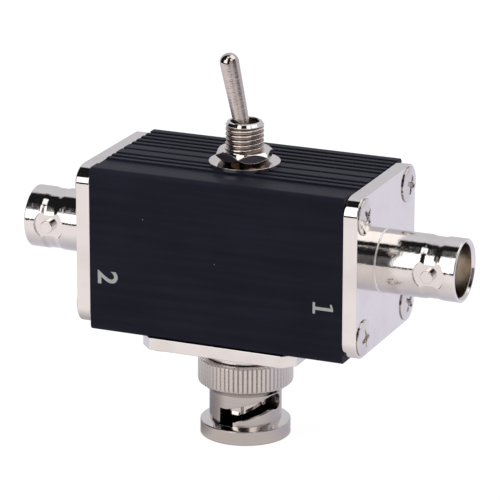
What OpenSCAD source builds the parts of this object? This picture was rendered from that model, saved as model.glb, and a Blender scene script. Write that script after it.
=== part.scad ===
// Two-way coaxial antenna switch: a ribbed housing with a bayonet jack on each end,
// a bayonet plug underneath and a toggle switch on top.
// Millimetres. The origin is the centre of the coupling nut's rim, on the surface it stands on.
// +X runs from the left jack to the right jack, +Y to the back, +Z up.

/* [Housing] */
// Length of the housing between the end plates
housing_l = 41.6; // [40:0.2:48]
// Width of the housing, front to back
housing_w = 24.5; // [24:0.1:27]
// Height of the housing
housing_h = 25.95; // [25.4:0.05:29]
// Thickness of the housing's walls
wall_t = 2; // [1.8:0.1:2.4]
// Radius of the housing's long edges
housing_r = 0.8; // [0.5:0.1:1.5]
// Depth of the grooves between the ribs on top
groove_depth = 0.3; // [0.2:0.05:0.6]
// Width of each groove between the ribs
groove_w = 0.8; // [0.6:0.05:1]
// Distance from one groove to the next
groove_pitch = 1.75; // [1.5:0.05:1.8]
// Distance of the first groove from the middle
first_groove = 2.8; // [2.4:0.1:2.9]
// Width of the groove in the middle
middle_groove_w = 0.6; // [0.4:0.05:1]
// Width of the plain recess along the front of the top
recess_w = 3.3; // [2.6:0.1:3.6]
// Radius of the screw bosses inside the corners
boss_r = 2.6; // [2.4:0.05:2.7]

/* [End plates] */
// Thickness of each end plate
plate_t = 2.25; // [1.8:0.05:2.6]
// How far each plate stands out past the housing's front and back
plate_side_lap = 0.05; // [0:0.01:0.1]
// How far each plate's top edge lies below the ribs
plate_top_inset = 0.15; // [0:0.05:0.4]
// How far each plate's bottom edge lies above the housing's underside
plate_bottom_inset = 0.6; // [0.3:0.05:0.9]
// Radius of the plates' corners
plate_r = 2.8; // [2:0.1:3.2]
// Distance of the screws from the plates' edges
plate_screw_inset = 3.1; // [3:0.05:3.3]
// Length of the plate screws under the head
plate_screw_l = 8; // [6:0.5:10]

/* [Screws] */
// Diameter of the screws' threads
screw_d = 3; // [2.6:0.1:3]
// Diameter of the screw heads
screw_head_d = 5.6; // [5.2:0.1:5.8]
// Height of the straight side of a head
screw_side_h = 0.2; // [0.15:0.05:0.4]
// Height of the dome on top of a head
screw_dome_h = 0.4; // [0.3:0.05:0.5]
// Span of the cross recess
recess_span = 3; // [2.6:0.1:3.4]
// Width of each arm of the cross recess
recess_arm = 0.55; // [0.4:0.05:0.7]
// Depth of the cross recess
recess_depth = 0.45; // [0.3:0.05:0.5]

/* [Jacks] */
// Outer diameter of the jack barrels
jack_d = 9.8; // [9.6:0.01:9.85]
// Length of each barrel outside its plate
jack_reach = 12.7; // [12:0.05:14]
// Diameter of the opening that takes a plug
jack_bore_d = 8.2; // [8.1:0.05:8.3]
// Depth of that opening
jack_bore_depth = 8.3; // [8:0.1:8.8]
// Distance of the bayonet lugs from the mouth
lug_set = 4.2; // [4:0.1:5.2]
// Diameter of the bayonet lugs
lug_d = 2; // [1.9:0.05:2.1]
// Depth of the shallow waist round each barrel at its lugs
waist_depth = 0.15; // [0.1:0.01:0.2]
// Width of the waist's level middle
waist_w = 1.4; // [1:0.1:1.8]
// Width of each of the waist's slopes
waist_slope = 0.9; // [0.6:0.05:1.1]
// Distance across the tips of the two lugs
lug_span = 11; // [10.9:0.05:11.1]
// Diameter of the cutter that spots a flat round each lug
spot_d = 5; // [4.6:0.1:5.4]
// Depth of that flat
spot_depth = 0.44; // [0.3:0.01:0.46]
// Diameter of the threaded stud that passes through the plate
stud_d = 8.5; // [8.3:0.1:8.7]
// Length of the stud inside the plate
stud_l = 4.2; // [3.6:0.1:5]
// Thickness of the lock washer behind the plate
lock_t = 0.5; // [0.4:0.05:0.7]
// Thickness of the nut behind the plate
jack_nut_t = 2.2; // [1.8:0.1:2.6]
// Width of that nut across its flats
jack_nut_af = 11; // [10.6:0.1:11.2]
// Diameter of the insulator's nose
nose_d = 4.72; // [4.6:0.02:4.8]
// Distance of the insulator's nose from the mouth
nose_set = 3.3; // [3:0.1:3.8]
// Diameter of the insulator's body
core_d = 6.2; // [6:0.1:6.4]
// Diameter of the centre contact
contact_d = 2.2; // [2:0.05:2.4]
// How far the solder cup stands out behind the stud
cup_l = 2.4; // [2:0.1:3]

/* [Toggle switch] */
// How far the switch sits in front of the housing's middle
toggle_set = 0.6; // [0.4:0.05:0.8]
// Diameter over the bushing's thread
bushing_d = 5.92; // [5.9:0.01:5.96]
// Height of the bushing above the ribs
bushing_h = 6.85; // [6.4:0.05:7.6]
// Distance from one thread ridge to the next
thread_pitch = 0.75; // [0.65:0.05:0.8]
// Depth of the thread
thread_depth = 0.3; // [0.2:0.01:0.32]
// Diameter of the bushing's upper opening
mouth_d = 4.4; // [4.3:0.05:4.5]
// Diameter of the lever's ball
ball_d = 4.56; // [4.5:0.02:4.6]
// Distance of the lever's pivot below the bushing's top
pivot_drop = 2.95; // [2.8:0.05:3.2]
// Lean of the lever from upright, in degrees
lever_lean = 12.25; // [11:0.25:12.5]
// Length of the lever above its pivot
lever_l = 13.55; // [12:0.05:15]
// Diameter of the lever at its tip
lever_tip_d = 3; // [2.8:0.05:3.2]
// Diameter of the lever at the bushing
lever_neck_d = 2.5; // [2.3:0.05:2.5]
// Thickness of the ring under the nut
washer_t = 0.55; // [0.4:0.05:0.8]
// Diameter of the ring under the nut
washer_d = 11; // [10.4:0.1:11.6]
// Thickness of the nut
toggle_nut_t = 1.9; // [1.8:0.1:2.2]
// How far the nut's lower face is bevelled back from its flats
toggle_nut_foot = 0.5; // [0.3:0.05:0.5]
// Width of the nut across its flats
toggle_nut_af = 8; // [7.8:0.1:8.4]
// Turn of the nut about its axis, in degrees
toggle_nut_turn = -79.5; // [-110:0.5:-50]
// Length of the switch's case
case_l = 12.7; // [12.3:0.1:13]
// Width of the switch's case
case_w = 6; // [5.8:0.1:6.4]
// Thickness of the case's walls
case_wall = 0.9; // [0.8:0.05:1]
// Thickness of the case's floor
case_floor = 1.2; // [1:0.1:1.4]
// Distance from the outer terminals' middle to the case's wall
terminal_margin = 0.75; // [0.65:0.05:0.85]
// Width of each terminal
terminal_w = 2.4; // [2.4:0.05:2.8]
// Thickness of each terminal
terminal_t = 0.8; // [0.6:0.05:0.9]
// Tilt of the rocker each way, in degrees
rocker_tilt = 8; // [7:0.25:8.5]
// Upward bend of the rocker's two arms, in degrees
rocker_bend = 12; // [11:0.25:12.5]
// Thickness of the rocker
rocker_t = 0.6; // [0.5:0.05:0.7]
// Width of the rocker
rocker_w = 3.2; // [2.8:0.1:3.6]
// Play of the plunger over the rocker's middle
plunger_play = 0.24; // [0.2:0.02:0.4]

/* [Plug] */
// Length of the coupling nut
nut_l = 12.75; // [12.6:0.05:14]
// Diameter of the nut's rim
rim_d = 14.1; // [13.6:0.1:14.8]
// Height of the nut's rim
rim_h = 2.2; // [1.8:0.1:2.4]
// Diameter of the nut's barrel
nut_barrel_d = 11.3; // [11.2:0.05:11.5]
// Diameter of the nut's bore
nut_bore_d = 9.9; // [9.8:0.01:9.95]
// Diameter over the nut's knurl
knurl_d = 14.9; // [14.4:0.1:15.6]
// Length of the knurl
knurl_l = 4.3; // [3.8:0.05:4.4]
// Depth of the knurl's valleys
knurl_depth = 0.3; // [0.2:0.02:0.4]
// Number of knurl teeth
knurl_n = 64; // [48:2:72]
// Width of the bayonet slots
slot_w = 2.35; // [2.3:0.05:2.5]
// Height of the slots' middle where a lug enters
slot_z = 4; // [3.9:0.05:4.2]
// Rise of the slots up to the lock
slot_rise = 1.95; // [1.7:0.05:2.1]
// Turn from the entry to the lock, in degrees
slot_turn = 90; // [80:1:95]
// Turn of the first entry about the nut's axis, in degrees
slot_start = -99.5; // [-130:0.5:-80]
// Height of the round lock holes' middle
lock_z = 5.85; // [5.6:0.05:5.95]
// Diameter of the lock holes
lock_d = 2.5; // [2.4:0.05:2.6]
// How far the nut can be pushed forward
nut_travel = 0.7; // [0.5:0.05:0.8]
// Outer diameter of the plug's slit sleeve
sleeve_d = 8; // [7.9:0.02:8.04]
// Height of the sleeve's tip above the rim's underside
sleeve_z = 2.9; // [2.6:0.1:3.2]
// Inner diameter of the sleeve
sleeve_bore_d = 6.9; // [6.8:0.05:7]
// Width of the slits in the sleeve
slit_w = 0.5; // [0.3:0.05:0.6]
// Turn of the first slit about the plug's axis, in degrees
slit_turn = -74; // [-90:1:-60]
// Diameter of the plug's shank
shank_d = 9; // [8.9:0.05:9.1]
// Diameter of the centre pin
pin_d = 1.36; // [1.34:0.01:1.38]
// Diameter of the smooth collar above the knurl
collar_d = 12.6; // [12:0.1:13.2]
// Height of that collar
collar_h = 2.85; // [2.6:0.05:3.4]

/* [Flange] */
// Length of the flange, left to right
flange_l = 25.6; // [25.2:0.1:28]
// How far the flange's front and back lie inside the housing's
flange_inset = 0.05; // [0:0.01:0.1]
// Thickness of the flange
flange_t = 1.95; // [1.8:0.05:2.3]
// Length cut off each side at the flange's corners
flange_cut = 1.9; // [1.6:0.1:2.2]
// Distance of the flange screws from its edges
flange_screw_inset = 3.3; // [3.2:0.05:3.4]

/* [Hidden] */
$fn = 64;
eps = 0.01;
// Clearances: a thread in its hole, a running fit, a loose hole, and two faces that must not rub
thread_gap = 0.02;
run_gap = 0.05;
hole_gap = 0.15;
face_gap = 0.1;

// Heights, from the surface up
collar_z = nut_l + face_gap;
flange_z = collar_z + collar_h;
housing_z = flange_z + flange_t;
housing_top = housing_z + housing_h;
ceiling_z = housing_top - wall_t;
plate_z0 = housing_z + plate_bottom_inset;
plate_z1 = housing_top - plate_top_inset;
plate_h = plate_z1 - plate_z0;
plate_w = housing_w + 2 * plate_side_lap;
jack_z = (plate_z0 + plate_z1) / 2;

// Places along each jack's axis, measured from the middle of the housing
plate_in = housing_l / 2;
plate_out = plate_in + plate_t;
mouth_x = plate_out + jack_reach;
jack_floor = mouth_x - jack_bore_depth;
stud_end = plate_in - stud_l;
cup_end = stud_end - cup_l;
cup_depth = 1.6;
mouth_bevel = 0.4;
edge_bevel = 0.2;
foot_flare = 0.15;

// Screw places on the plates (Y, Z) and on the flange (X, Y)
plate_screw_y = plate_w / 2 - plate_screw_inset;
plate_screw_z = plate_h / 2 - plate_screw_inset;
flange_w = housing_w - 2 * flange_inset;
flange_screw_x = flange_l / 2 - flange_screw_inset;
flange_screw_y = flange_w / 2 - flange_screw_inset;
tap_r = screw_d / 2 + thread_gap;
tap_web = 0.2;
flange_tap_top = jack_z - plate_screw_z - tap_r - tap_web;
flange_screw_l = flange_tap_top - face_gap - flange_z;

// Toggle switch
toggle_y = -toggle_set;
bushing_top = housing_top + bushing_h;
pivot_z = bushing_top - pivot_drop;
ball_r = ball_d / 2;
bushing_bore_r = ball_r + run_gap;
key_r = bushing_bore_r + 0.13;
key_w = 0.9;
trunnion_r = key_w / 2 - run_gap;
washer_z = housing_top;
toggle_nut_z = washer_z + washer_t;
shoulder_t = 0.9;
shoulder_z = ceiling_z - shoulder_t;
shoulder_r = 4.2;
swing_r = 2.95;
frame_t = 0.5;
frame_z = shoulder_z - frame_t;
frame_leg_w = 6;
frame_leg_l = 5.5;
cup_top = 6.8;
foot_r = 1.15;
foot_bore_r = 0.82;
foot_bore_top = 7.2;
stem_r = 0.8;
rocker_z = jack_z + 4.55;
rocker_room = 1.7;
plunger_end = pivot_z - rocker_z - rocker_t / 2 - plunger_play;
plunger_r = foot_bore_r - 0.04;
plunger_nose_r = 0.75;
plunger_travel = 0.5;
foot_end = plunger_end - plunger_nose_r - plunger_travel - 0.7;
plunger_top = foot_end - 1.1;
spring_wire_r = 0.11;
spring_r = foot_bore_r - spring_wire_r - 0.1;
spring_turns = 3;
case_z = rocker_z - rocker_t / 2 - rocker_room - case_floor;
terminal_pitch = case_l / 2 - case_wall - terminal_margin;
terminal_foot = jack_z - 2.65;
terminal_hole_r = 0.6;
lead_r = 0.4;
fixed_contact_z = rocker_z - rocker_t / 2 + (terminal_pitch - terminal_t / 2)
    * tan(rocker_bend - rocker_tilt) - face_gap;

// Plug
knurl_z = nut_l - knurl_l;
skirt_z = knurl_z - 1;
skirt_r = nut_barrel_d / 2 + 0.25;
lip_t = 0.55;
lip_z = nut_l - lip_t;
ring_t = 0.4;
thrust_t = 0.3;
spring_h = nut_travel + 0.5;
thrust_z = lip_z - thrust_t;
ring_z = thrust_z - spring_h - ring_t;
pocket_z = ring_z - face_gap;
pocket_r = nut_bore_d / 2 + 0.6;
ring_r = pocket_r - 0.2;
shank_r = shank_d / 2;
ring_groove_r = shank_r - 0.3;
shoulder_face_z = pocket_z;
gasket_t = 0.5;
slot_steps = 18;
ramp_share = 0.85;
pin_tip_z = sleeve_z + 0.5;
plug_step_z = 9.2;
plug_head_r = 5.55;
plug_head_t = 1;
plug_pin_r = 1;
plug_pin_top = housing_z + plug_head_t + 1.8;

nickel = [0.80, 0.79, 0.81];
satin_nickel = [0.72, 0.71, 0.72];
black_anodised = [0.13, 0.13, 0.16];
white_plastic = [0.93, 0.92, 0.88];
gold = [0.83, 0.66, 0.32];

// Faces of a tube given as rings of points, closed by a cap at each end
function tube_faces(rings, sides) = concat(
    [[for (j = [sides - 1:-1:0]) j]],
    [for (i = [0:rings - 2], j = [0:sides - 1], k = [0, 1])
        let (a = i * sides + j, b = i * sides + (j + 1) % sides, c = a + sides, d = b + sides)
        k == 0 ? [a, b, c] : [b, d, c]],
    [[for (j = [0:sides - 1]) (rings - 1) * sides + j]]
);

// Faces of a ring of sections that closes on itself
function loop_faces(rings, sides) = [
    for (i = [0:rings - 1], j = [0:sides - 1], k = [0, 1])
        let (n = (i + 1) % rings, a = i * sides + j, b = i * sides + (j + 1) % sides,
             c = n * sides + j, d = n * sides + (j + 1) % sides)
        k == 0 ? [a, b, c] : [b, d, c]
];

// Rectangle with round corners, about the origin
module round_rect(w, h, r) {
    square([w - 2 * r, h], center = true);
    square([w, h - 2 * r], center = true);
    for (x = [-1, 1], y = [-1, 1])
        translate([x * (w / 2 - r), y * (h / 2 - r)])
            circle(r);
}

// Rectangle whose corners are cut off at 45 degrees
module cut_rect(w, h, cut) {
    x = w / 2;
    y = h / 2;
    polygon([
        [x - cut, -y], [x, cut - y], [x, y - cut], [x - cut, y],
        [cut - x, y], [-x, y - cut], [-x, cut - y], [cut - x, -y]
    ]);
}

// Puts a part made along +Z onto a jack's axis: side is 1 for the right end, -1 for the left
module on_jack(side) {
    translate([0, 0, jack_z])
        rotate([0, side * 90, 0])
            children();
}

// Stands a part made about the origin on the toggle switch's axis
module on_toggle() {
    translate([0, toggle_y, 0])
        children();
}

// Puts a part made about the lever's pivot at its rest lean, to the left
module on_lever() {
    translate([0, toggle_y, pivot_z])
        rotate([0, -lever_lean, 0])
            children();
}

// Hexagonal nut blank with its top corners turned off
module hex_blank(af, t, bore_r) {
    corner_r = af / 2 / cos(30);
    drop = (corner_r - af / 2) * tan(30);
    difference() {
        intersection() {
            cylinder(h = t, r = corner_r, $fn = 6);
            rotate_extrude()
                polygon([
                    [0, 0], [af / 2, 0], [corner_r, drop], [corner_r, t - drop], [af / 2, t], [0, t]
                ]);
        }
        translate([0, 0, -eps])
            cylinder(h = t + 2 * eps, r = bore_r);
    }
}

// Pan-head screw: the head stands on z = 0 and the shank runs down
module pan_screw(shank_l, turn) {
    head_r = screw_head_d / 2;
    dome_r = (head_r * head_r + screw_dome_h * screw_dome_h) / (2 * screw_dome_h);
    head_h = screw_side_h + screw_dome_h;
    difference() {
        union() {
            intersection() {
                cylinder(h = head_h, r = head_r);
                translate([0, 0, head_h - dome_r])
                    sphere(r = dome_r, $fn = 128);
            }
            translate([0, 0, -shank_l])
                cylinder(h = shank_l + eps, r = screw_d / 2);
        }
        for (a = [0, 90])
            rotate([0, 0, turn + a])
                translate([-recess_span / 2, -recess_arm / 2, head_h - recess_depth])
                    cube([recess_span, recess_arm, recess_depth + 1]);
    }
}

// Housing section in the Y, Z plane, about the axis of the jacks
module housing_section() {
    mid_z = housing_z + housing_h / 2 - jack_z;
    top_y = housing_top - jack_z;
    difference() {
        translate([0, mid_z])
            round_rect(housing_w, housing_h, housing_r);
        difference() {
            translate([0, mid_z])
                round_rect(housing_w - 2 * wall_t, housing_h - 2 * wall_t, 1);
            for (y = [-1, 1], z = [-1, 1])
                translate([y * plate_screw_y, z * plate_screw_z])
                    circle(boss_r);
        }
        for (y = [-1, 1], z = [-1, 1])
            translate([y * plate_screw_y, z * plate_screw_z])
                circle(tap_r);
        translate([-middle_groove_w / 2, top_y - groove_depth])
            square([middle_groove_w, 1]);
        for (i = [0:4])
            translate([first_groove + i * groove_pitch - groove_w / 2, top_y - groove_depth])
                square([groove_w, 1]);
        for (i = [0:1])
            translate([-first_groove - i * groove_pitch - groove_w / 2, top_y - groove_depth])
                square([groove_w, 1]);
        translate([-first_groove - 2 * groove_pitch + groove_w / 2 - recess_w, top_y - groove_depth])
            square([recess_w, 1]);
    }
}

module housing() {
    color(black_anodised)
    difference() {
        translate([-housing_l / 2, 0, jack_z])
            rotate([90, 0, 90])
                linear_extrude(housing_l)
                    housing_section();
        on_toggle()
            translate([0, 0, ceiling_z - 1])
                cylinder(h = wall_t + 2, r = bushing_d / 2 + hole_gap / 2);
        translate([0, 0, housing_z - 1])
            cylinder(h = wall_t + 2, r = plug_head_r + hole_gap);
        for (x = [-1, 1], y = [-1, 1])
            translate([x * flange_screw_x, y * flange_screw_y, housing_z - 1])
                cylinder(h = flange_tap_top - housing_z + 1, r = tap_r);
    }
}

module end_plate(side) {
    color(nickel)
    difference() {
        on_jack(side)
            translate([0, 0, plate_in])
                rotate([0, 0, 90])
                    linear_extrude(plate_t)
                        round_rect(plate_w, plate_h, plate_r);
        on_jack(side) {
            translate([0, 0, plate_in - 1])
                cylinder(h = plate_t + 2, r = stud_d / 2 + run_gap);
            for (y = [-1, 1], z = [-1, 1])
                translate([z * plate_screw_z, y * plate_screw_y, plate_in - 1])
                    cylinder(h = plate_t + 2, r = screw_d / 2 + hole_gap);
        }
    }
}
module end_plate_left() { end_plate(-1); }
module end_plate_right() { end_plate(1); }

// The cross recesses stand at unlike angles, as driven screws do
module plate_screws(side) {
    color(nickel)
    on_jack(side)
        for (y = [-1, 1], z = [-1, 1])
            translate([z * plate_screw_z, y * plate_screw_y, plate_out])
                pan_screw(plate_screw_l, 7 * y + 11 * z + 5 * side);
}
module plate_screws_left() { plate_screws(-1); }
module plate_screws_right() { plate_screws(1); }

// Barrel with its stud in one turned piece
module jack_shell(side) {
    barrel_r = jack_d / 2;
    bore_r = jack_bore_d / 2;
    core_r = core_d / 2 + thread_gap;
    waist_r = barrel_r - waist_depth;
    lug_x = mouth_x - lug_set;
    color(nickel)
    on_jack(side)
        difference() {
            rotate_extrude()
                polygon([
                    [core_r, stud_end], [stud_d / 2 - edge_bevel, stud_end],
                    [stud_d / 2, stud_end + edge_bevel], [stud_d / 2, plate_out],
                    [barrel_r + foot_flare, plate_out], [barrel_r, plate_out + foot_flare],
                    [barrel_r, lug_x - waist_w / 2 - waist_slope], [waist_r, lug_x - waist_w / 2],
                    [waist_r, lug_x + waist_w / 2], [barrel_r, lug_x + waist_w / 2 + waist_slope],
                    [barrel_r, mouth_x - edge_bevel],
                    [barrel_r - edge_bevel, mouth_x], [bore_r + mouth_bevel, mouth_x],
                    [bore_r, mouth_x - mouth_bevel], [bore_r, jack_floor], [core_r, jack_floor]
                ]);
            for (a = [90, -90])
                translate([0, 0, mouth_x - lug_set])
                    rotate([a, 0, 0]) {
                        translate([0, 0, barrel_r - spot_depth])
                            cylinder(h = 2, r = spot_d / 2);
                        cylinder(h = barrel_r, r = lug_d / 2 + thread_gap);
                    }
        }
}
module jack_shell_left() { jack_shell(-1); }
module jack_shell_right() { jack_shell(1); }

// Two lug pins, pressed into the barrel's wall from front and back
module jack_lugs(side) {
    foot = jack_bore_d / 2 + run_gap;
    tip = lug_span / 2;
    r = lug_d / 2;
    color(nickel)
    on_jack(side)
        for (a = [90, -90])
            translate([0, 0, mouth_x - lug_set])
                rotate([a, 0, 0])
                    rotate_extrude()
                        polygon([[0, foot], [r, foot], [r, tip - edge_bevel], [r - edge_bevel, tip], [0, tip]]);
}
module jack_lugs_left() { jack_lugs(-1); }
module jack_lugs_right() { jack_lugs(1); }

module jack_insulator(side) {
    color(white_plastic)
    on_jack(side)
        rotate_extrude()
            polygon([
                [contact_d / 2 + thread_gap, stud_end], [core_d / 2, stud_end], [core_d / 2, jack_floor],
                [nose_d / 2, jack_floor], [nose_d / 2, mouth_x - nose_set],
                [contact_d / 2 + thread_gap, mouth_x - nose_set]
            ]);
}
module jack_insulator_left() { jack_insulator(-1); }
module jack_insulator_right() { jack_insulator(1); }

// Socket for a plug's pin at one end, solder cup at the other
module jack_contact(side) {
    socket_r = pin_d / 2 + run_gap;
    socket_depth = 6;
    slit = 0.25;
    face = mouth_x - nose_set;
    color(gold)
    on_jack(side)
        difference() {
            translate([0, 0, cup_end])
                cylinder(h = face - cup_end, r = contact_d / 2);
            translate([0, 0, face - socket_depth])
                cylinder(h = socket_depth + 1, r = socket_r);
            for (a = [45, 135])
                rotate([0, 0, a])
                    translate([-2, -slit / 2, face - socket_depth + 1])
                        cube([4, slit, socket_depth]);
            translate([0, 0, cup_end - 1])
                cylinder(h = cup_depth + 1, r = lead_r + hole_gap);
        }
}
module jack_contact_left() { jack_contact(-1); }
module jack_contact_right() { jack_contact(1); }

// Lock washer with a notched rim, behind the plate
module jack_washer(side) {
    outer_r = jack_nut_af / 2 + 0.5;
    notches = 12;
    color(nickel)
    on_jack(side)
        translate([0, 0, plate_in - lock_t])
            difference() {
                cylinder(h = lock_t, r = outer_r);
                translate([0, 0, -1])
                    cylinder(h = lock_t + 2, r = stud_d / 2 + hole_gap);
                for (i = [0:notches - 1])
                    rotate([0, 0, i * 360 / notches])
                        translate([outer_r - 0.7, -0.4, -1])
                            cube([2, 0.8, lock_t + 2]);
            }
}
module jack_washer_left() { jack_washer(-1); }
module jack_washer_right() { jack_washer(1); }

module jack_nut(side) {
    color(nickel)
    on_jack(side)
        translate([0, 0, plate_in - lock_t - jack_nut_t])
            hex_blank(jack_nut_af, jack_nut_t, stud_d / 2 + thread_gap);
}
module jack_nut_left() { jack_nut(-1); }
module jack_nut_right() { jack_nut(1); }

// Threaded bushing with a shoulder under the housing's top wall.
// Two keyways, open below, take the lever's trunnions.
module toggle_bushing() {
    crest = bushing_d / 2;
    root = crest - thread_depth;
    crown = 0.5;
    lip_h = 0.4;
    thread_top = bushing_top - crown;
    ridges = floor((thread_top - toggle_nut_z) / thread_pitch);
    thread_end = thread_top - ridges * thread_pitch;
    color(nickel)
    on_toggle()
        difference() {
            rotate_extrude()
                polygon(concat(
                    [[swing_r, shoulder_z], [shoulder_r, shoulder_z], [shoulder_r, ceiling_z],
                     [crest, ceiling_z], [crest, thread_end]],
                    [for (i = [ridges - 1:-1:0], p = [0:3])
                        let (z = thread_top - (i + 1) * thread_pitch)
                        [p == 1 || p == 2 ? root : crest,
                         z + thread_pitch * [0.08, 0.42, 0.58, 0.92][p]]],
                    [[crest, thread_top], [crest - crown * 0.9, bushing_top],
                     [mouth_d / 2 + 0.1, bushing_top], [mouth_d / 2, bushing_top - 0.1],
                     [mouth_d / 2, bushing_top - lip_h], [bushing_bore_r, bushing_top - lip_h - 0.1],
                     [bushing_bore_r, ceiling_z], [swing_r, ceiling_z]]
                ));
            for (a = [90, -90])
                rotate([0, 0, a])
                    translate([0, -key_w / 2, shoulder_z - 1])
                        intersection() {
                            translate([0, key_w / 2, 0])
                                cylinder(h = 60, r = key_r);
                            cube([key_r + 1, key_w, pivot_z + key_w / 2 - shoulder_z + 1]);
                        }
        }
}

module toggle_washer() {
    color(nickel)
    on_toggle()
        translate([0, 0, washer_z])
            difference() {
                rotate_extrude()
                    polygon([
                        [0, 0], [washer_d / 2, 0], [washer_d / 2, washer_t - 0.15],
                        [washer_d / 2 - 0.15, washer_t], [0, washer_t]
                    ]);
                translate([0, 0, -1])
                    cylinder(h = washer_t + 2, r = bushing_d / 2 + hole_gap / 2);
            }
}

// Hexagon nut, bevelled so far at both faces that its corners come almost to points
module toggle_nut() {
    corner_r = toggle_nut_af / 2 / cos(30);
    top_r = toggle_nut_af / 2 - 0.05;
    foot_r = toggle_nut_af / 2 - toggle_nut_foot;
    color(nickel)
    on_toggle()
        translate([0, 0, toggle_nut_z])
            rotate([0, 0, toggle_nut_turn])
                difference() {
                    intersection() {
                        cylinder(h = toggle_nut_t, r = corner_r, $fn = 6);
                        rotate_extrude()
                            polygon([
                                [0, 0], [foot_r, 0], [corner_r, corner_r - foot_r],
                                [corner_r, toggle_nut_t - corner_r + top_r], [top_r, toggle_nut_t],
                                [0, toggle_nut_t]
                            ]);
                    }
                    translate([0, 0, -eps])
                        cylinder(h = toggle_nut_t + 2 * eps, r = bushing_d / 2 + thread_gap);
                }
}

// Steel bracket whose two legs hold the case up against the bushing
module toggle_frame() {
    color(satin_nickel)
    on_toggle()
        difference() {
            union() {
                translate([-case_l / 2, -case_w / 2 - frame_t, frame_z])
                    cube([case_l, case_w + 2 * frame_t, frame_t]);
                for (y = [-case_w / 2 - frame_t, case_w / 2])
                    translate([-frame_leg_w / 2, y, frame_z - frame_leg_l])
                        cube([frame_leg_w, frame_t, frame_leg_l + eps]);
            }
            translate([0, 0, frame_z - 1])
                cylinder(h = frame_t + 2, r = swing_r);
        }
}

// Moulded case, open at the top under the frame, with a slot for each terminal
module toggle_case() {
    color([0.15, 0.25, 0.45])
    on_toggle()
        difference() {
            translate([-case_l / 2, -case_w / 2, case_z])
                cube([case_l, case_w, frame_z - case_z]);
            translate([-case_l / 2 + case_wall, -case_w / 2 + case_wall, case_z + case_floor])
                cube([case_l - 2 * case_wall, case_w - 2 * case_wall, frame_z]);
            for (x = [-1, 0, 1])
                translate([x * terminal_pitch - terminal_t / 2 - thread_gap, -terminal_w / 2 - thread_gap,
                           case_z - 1])
                    cube([terminal_t + 2 * thread_gap, terminal_w + 2 * thread_gap, case_floor + 2]);
        }
}

// Tapered lever with a domed tip, a ball with two trunnions, and a hollow foot for the plunger
module toggle_lever() {
    tip_r = lever_tip_d / 2;
    color(nickel)
    on_lever()
        difference() {
            union() {
                sphere(r = ball_r, $fn = 96);
                cylinder(h = pivot_drop + eps, r = lever_neck_d / 2);
                translate([0, 0, pivot_drop])
                    cylinder(h = lever_l - tip_r - pivot_drop, r1 = lever_neck_d / 2, r2 = tip_r);
                translate([0, 0, lever_l - tip_r])
                    sphere(r = tip_r, $fn = 96);
                rotate([90, 0, 0])
                    cylinder(h = 2 * (key_r - run_gap), r = trunnion_r, center = true);
                translate([0, 0, -cup_top - eps])
                    cylinder(h = cup_top, r = stem_r);
                translate([0, 0, -foot_end])
                    cylinder(h = foot_end - cup_top, r = foot_r);
            }
            translate([0, 0, -foot_end - 1])
                cylinder(h = foot_end - foot_bore_top + 1, r = foot_bore_r);
        }
}

module toggle_plunger() {
    nose_z = plunger_end - plunger_nose_r;
    color(white_plastic)
    on_lever() {
        translate([0, 0, -nose_z])
            cylinder(h = nose_z - plunger_top, r = plunger_r);
        translate([0, 0, -nose_z])
            sphere(r = plunger_nose_r);
    }
}

// Coil spring between the plunger and the blind end of its bore
module toggle_spring() {
    sides = 6;
    steps = 8 * spring_turns;
    top = foot_bore_top + face_gap / 2 + spring_wire_r;
    bottom = plunger_top - face_gap / 2 - spring_wire_r;
    points = [
        for (i = [0:steps], j = [0:sides - 1])
            let (a = i * 45, t = j * 360 / sides, r = spring_r + spring_wire_r * cos(t))
            [r * cos(a), r * sin(a), -bottom + (bottom - top) * i / steps + spring_wire_r * sin(t)]
    ];
    color(satin_nickel)
    on_lever()
        polyhedron(points, tube_faces(steps + 1, sides));
}

// Bent contact bar: its right arm is down at rest
module toggle_rocker() {
    arm = terminal_pitch + 0.4;
    rise = arm * tan(rocker_bend);
    half_t = rocker_t / 2;
    color(satin_nickel)
    translate([0, toggle_y + rocker_w / 2, rocker_z])
        rotate([0, rocker_tilt, 0])
            rotate([90, 0, 0])
                linear_extrude(rocker_w)
                    polygon([
                        [-arm, rise - half_t], [0, -half_t], [arm, rise - half_t],
                        [arm, rise + half_t], [0, half_t], [-arm, rise + half_t]
                    ]);
}

// Flat terminal through the case's floor, holed for its wire
module terminal(x, head_z, holed) {
    color(satin_nickel)
    on_toggle()
        difference() {
            translate([x - terminal_t / 2, -terminal_w / 2, terminal_foot])
                cube([terminal_t, terminal_w, head_z - terminal_foot]);
            if (holed)
                translate([x, 0, jack_z])
                    rotate([0, 90, 0])
                        cylinder(h = terminal_t + 2, r = terminal_hole_r, center = true);
        }
}
module terminal_common() { terminal(0, rocker_z - rocker_t / 2 - run_gap, false); }
module terminal_left() { terminal(-terminal_pitch, fixed_contact_z, true); }
module terminal_right() { terminal(terminal_pitch, fixed_contact_z, true); }

// Flange plate and the smooth collar under it
module tx_flange() {
    color(nickel)
    difference() {
        union() {
            translate([0, 0, flange_z])
                linear_extrude(flange_t)
                    cut_rect(flange_l, flange_w, flange_cut);
            translate([0, 0, collar_z])
                rotate_extrude()
                    polygon([
                        [0, 0], [collar_d / 2 - edge_bevel, 0], [collar_d / 2, edge_bevel],
                        [collar_d / 2, collar_h + eps], [0, collar_h + eps]
                    ]);
        }
        translate([0, 0, collar_z - 1])
            cylinder(h = collar_h + flange_t + 2, r = shank_r + thread_gap);
        for (x = [-1, 1], y = [-1, 1])
            translate([x * flange_screw_x, y * flange_screw_y, flange_z - 1])
                cylinder(h = flange_t + 2, r = screw_d / 2 + hole_gap);
    }
}

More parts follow.
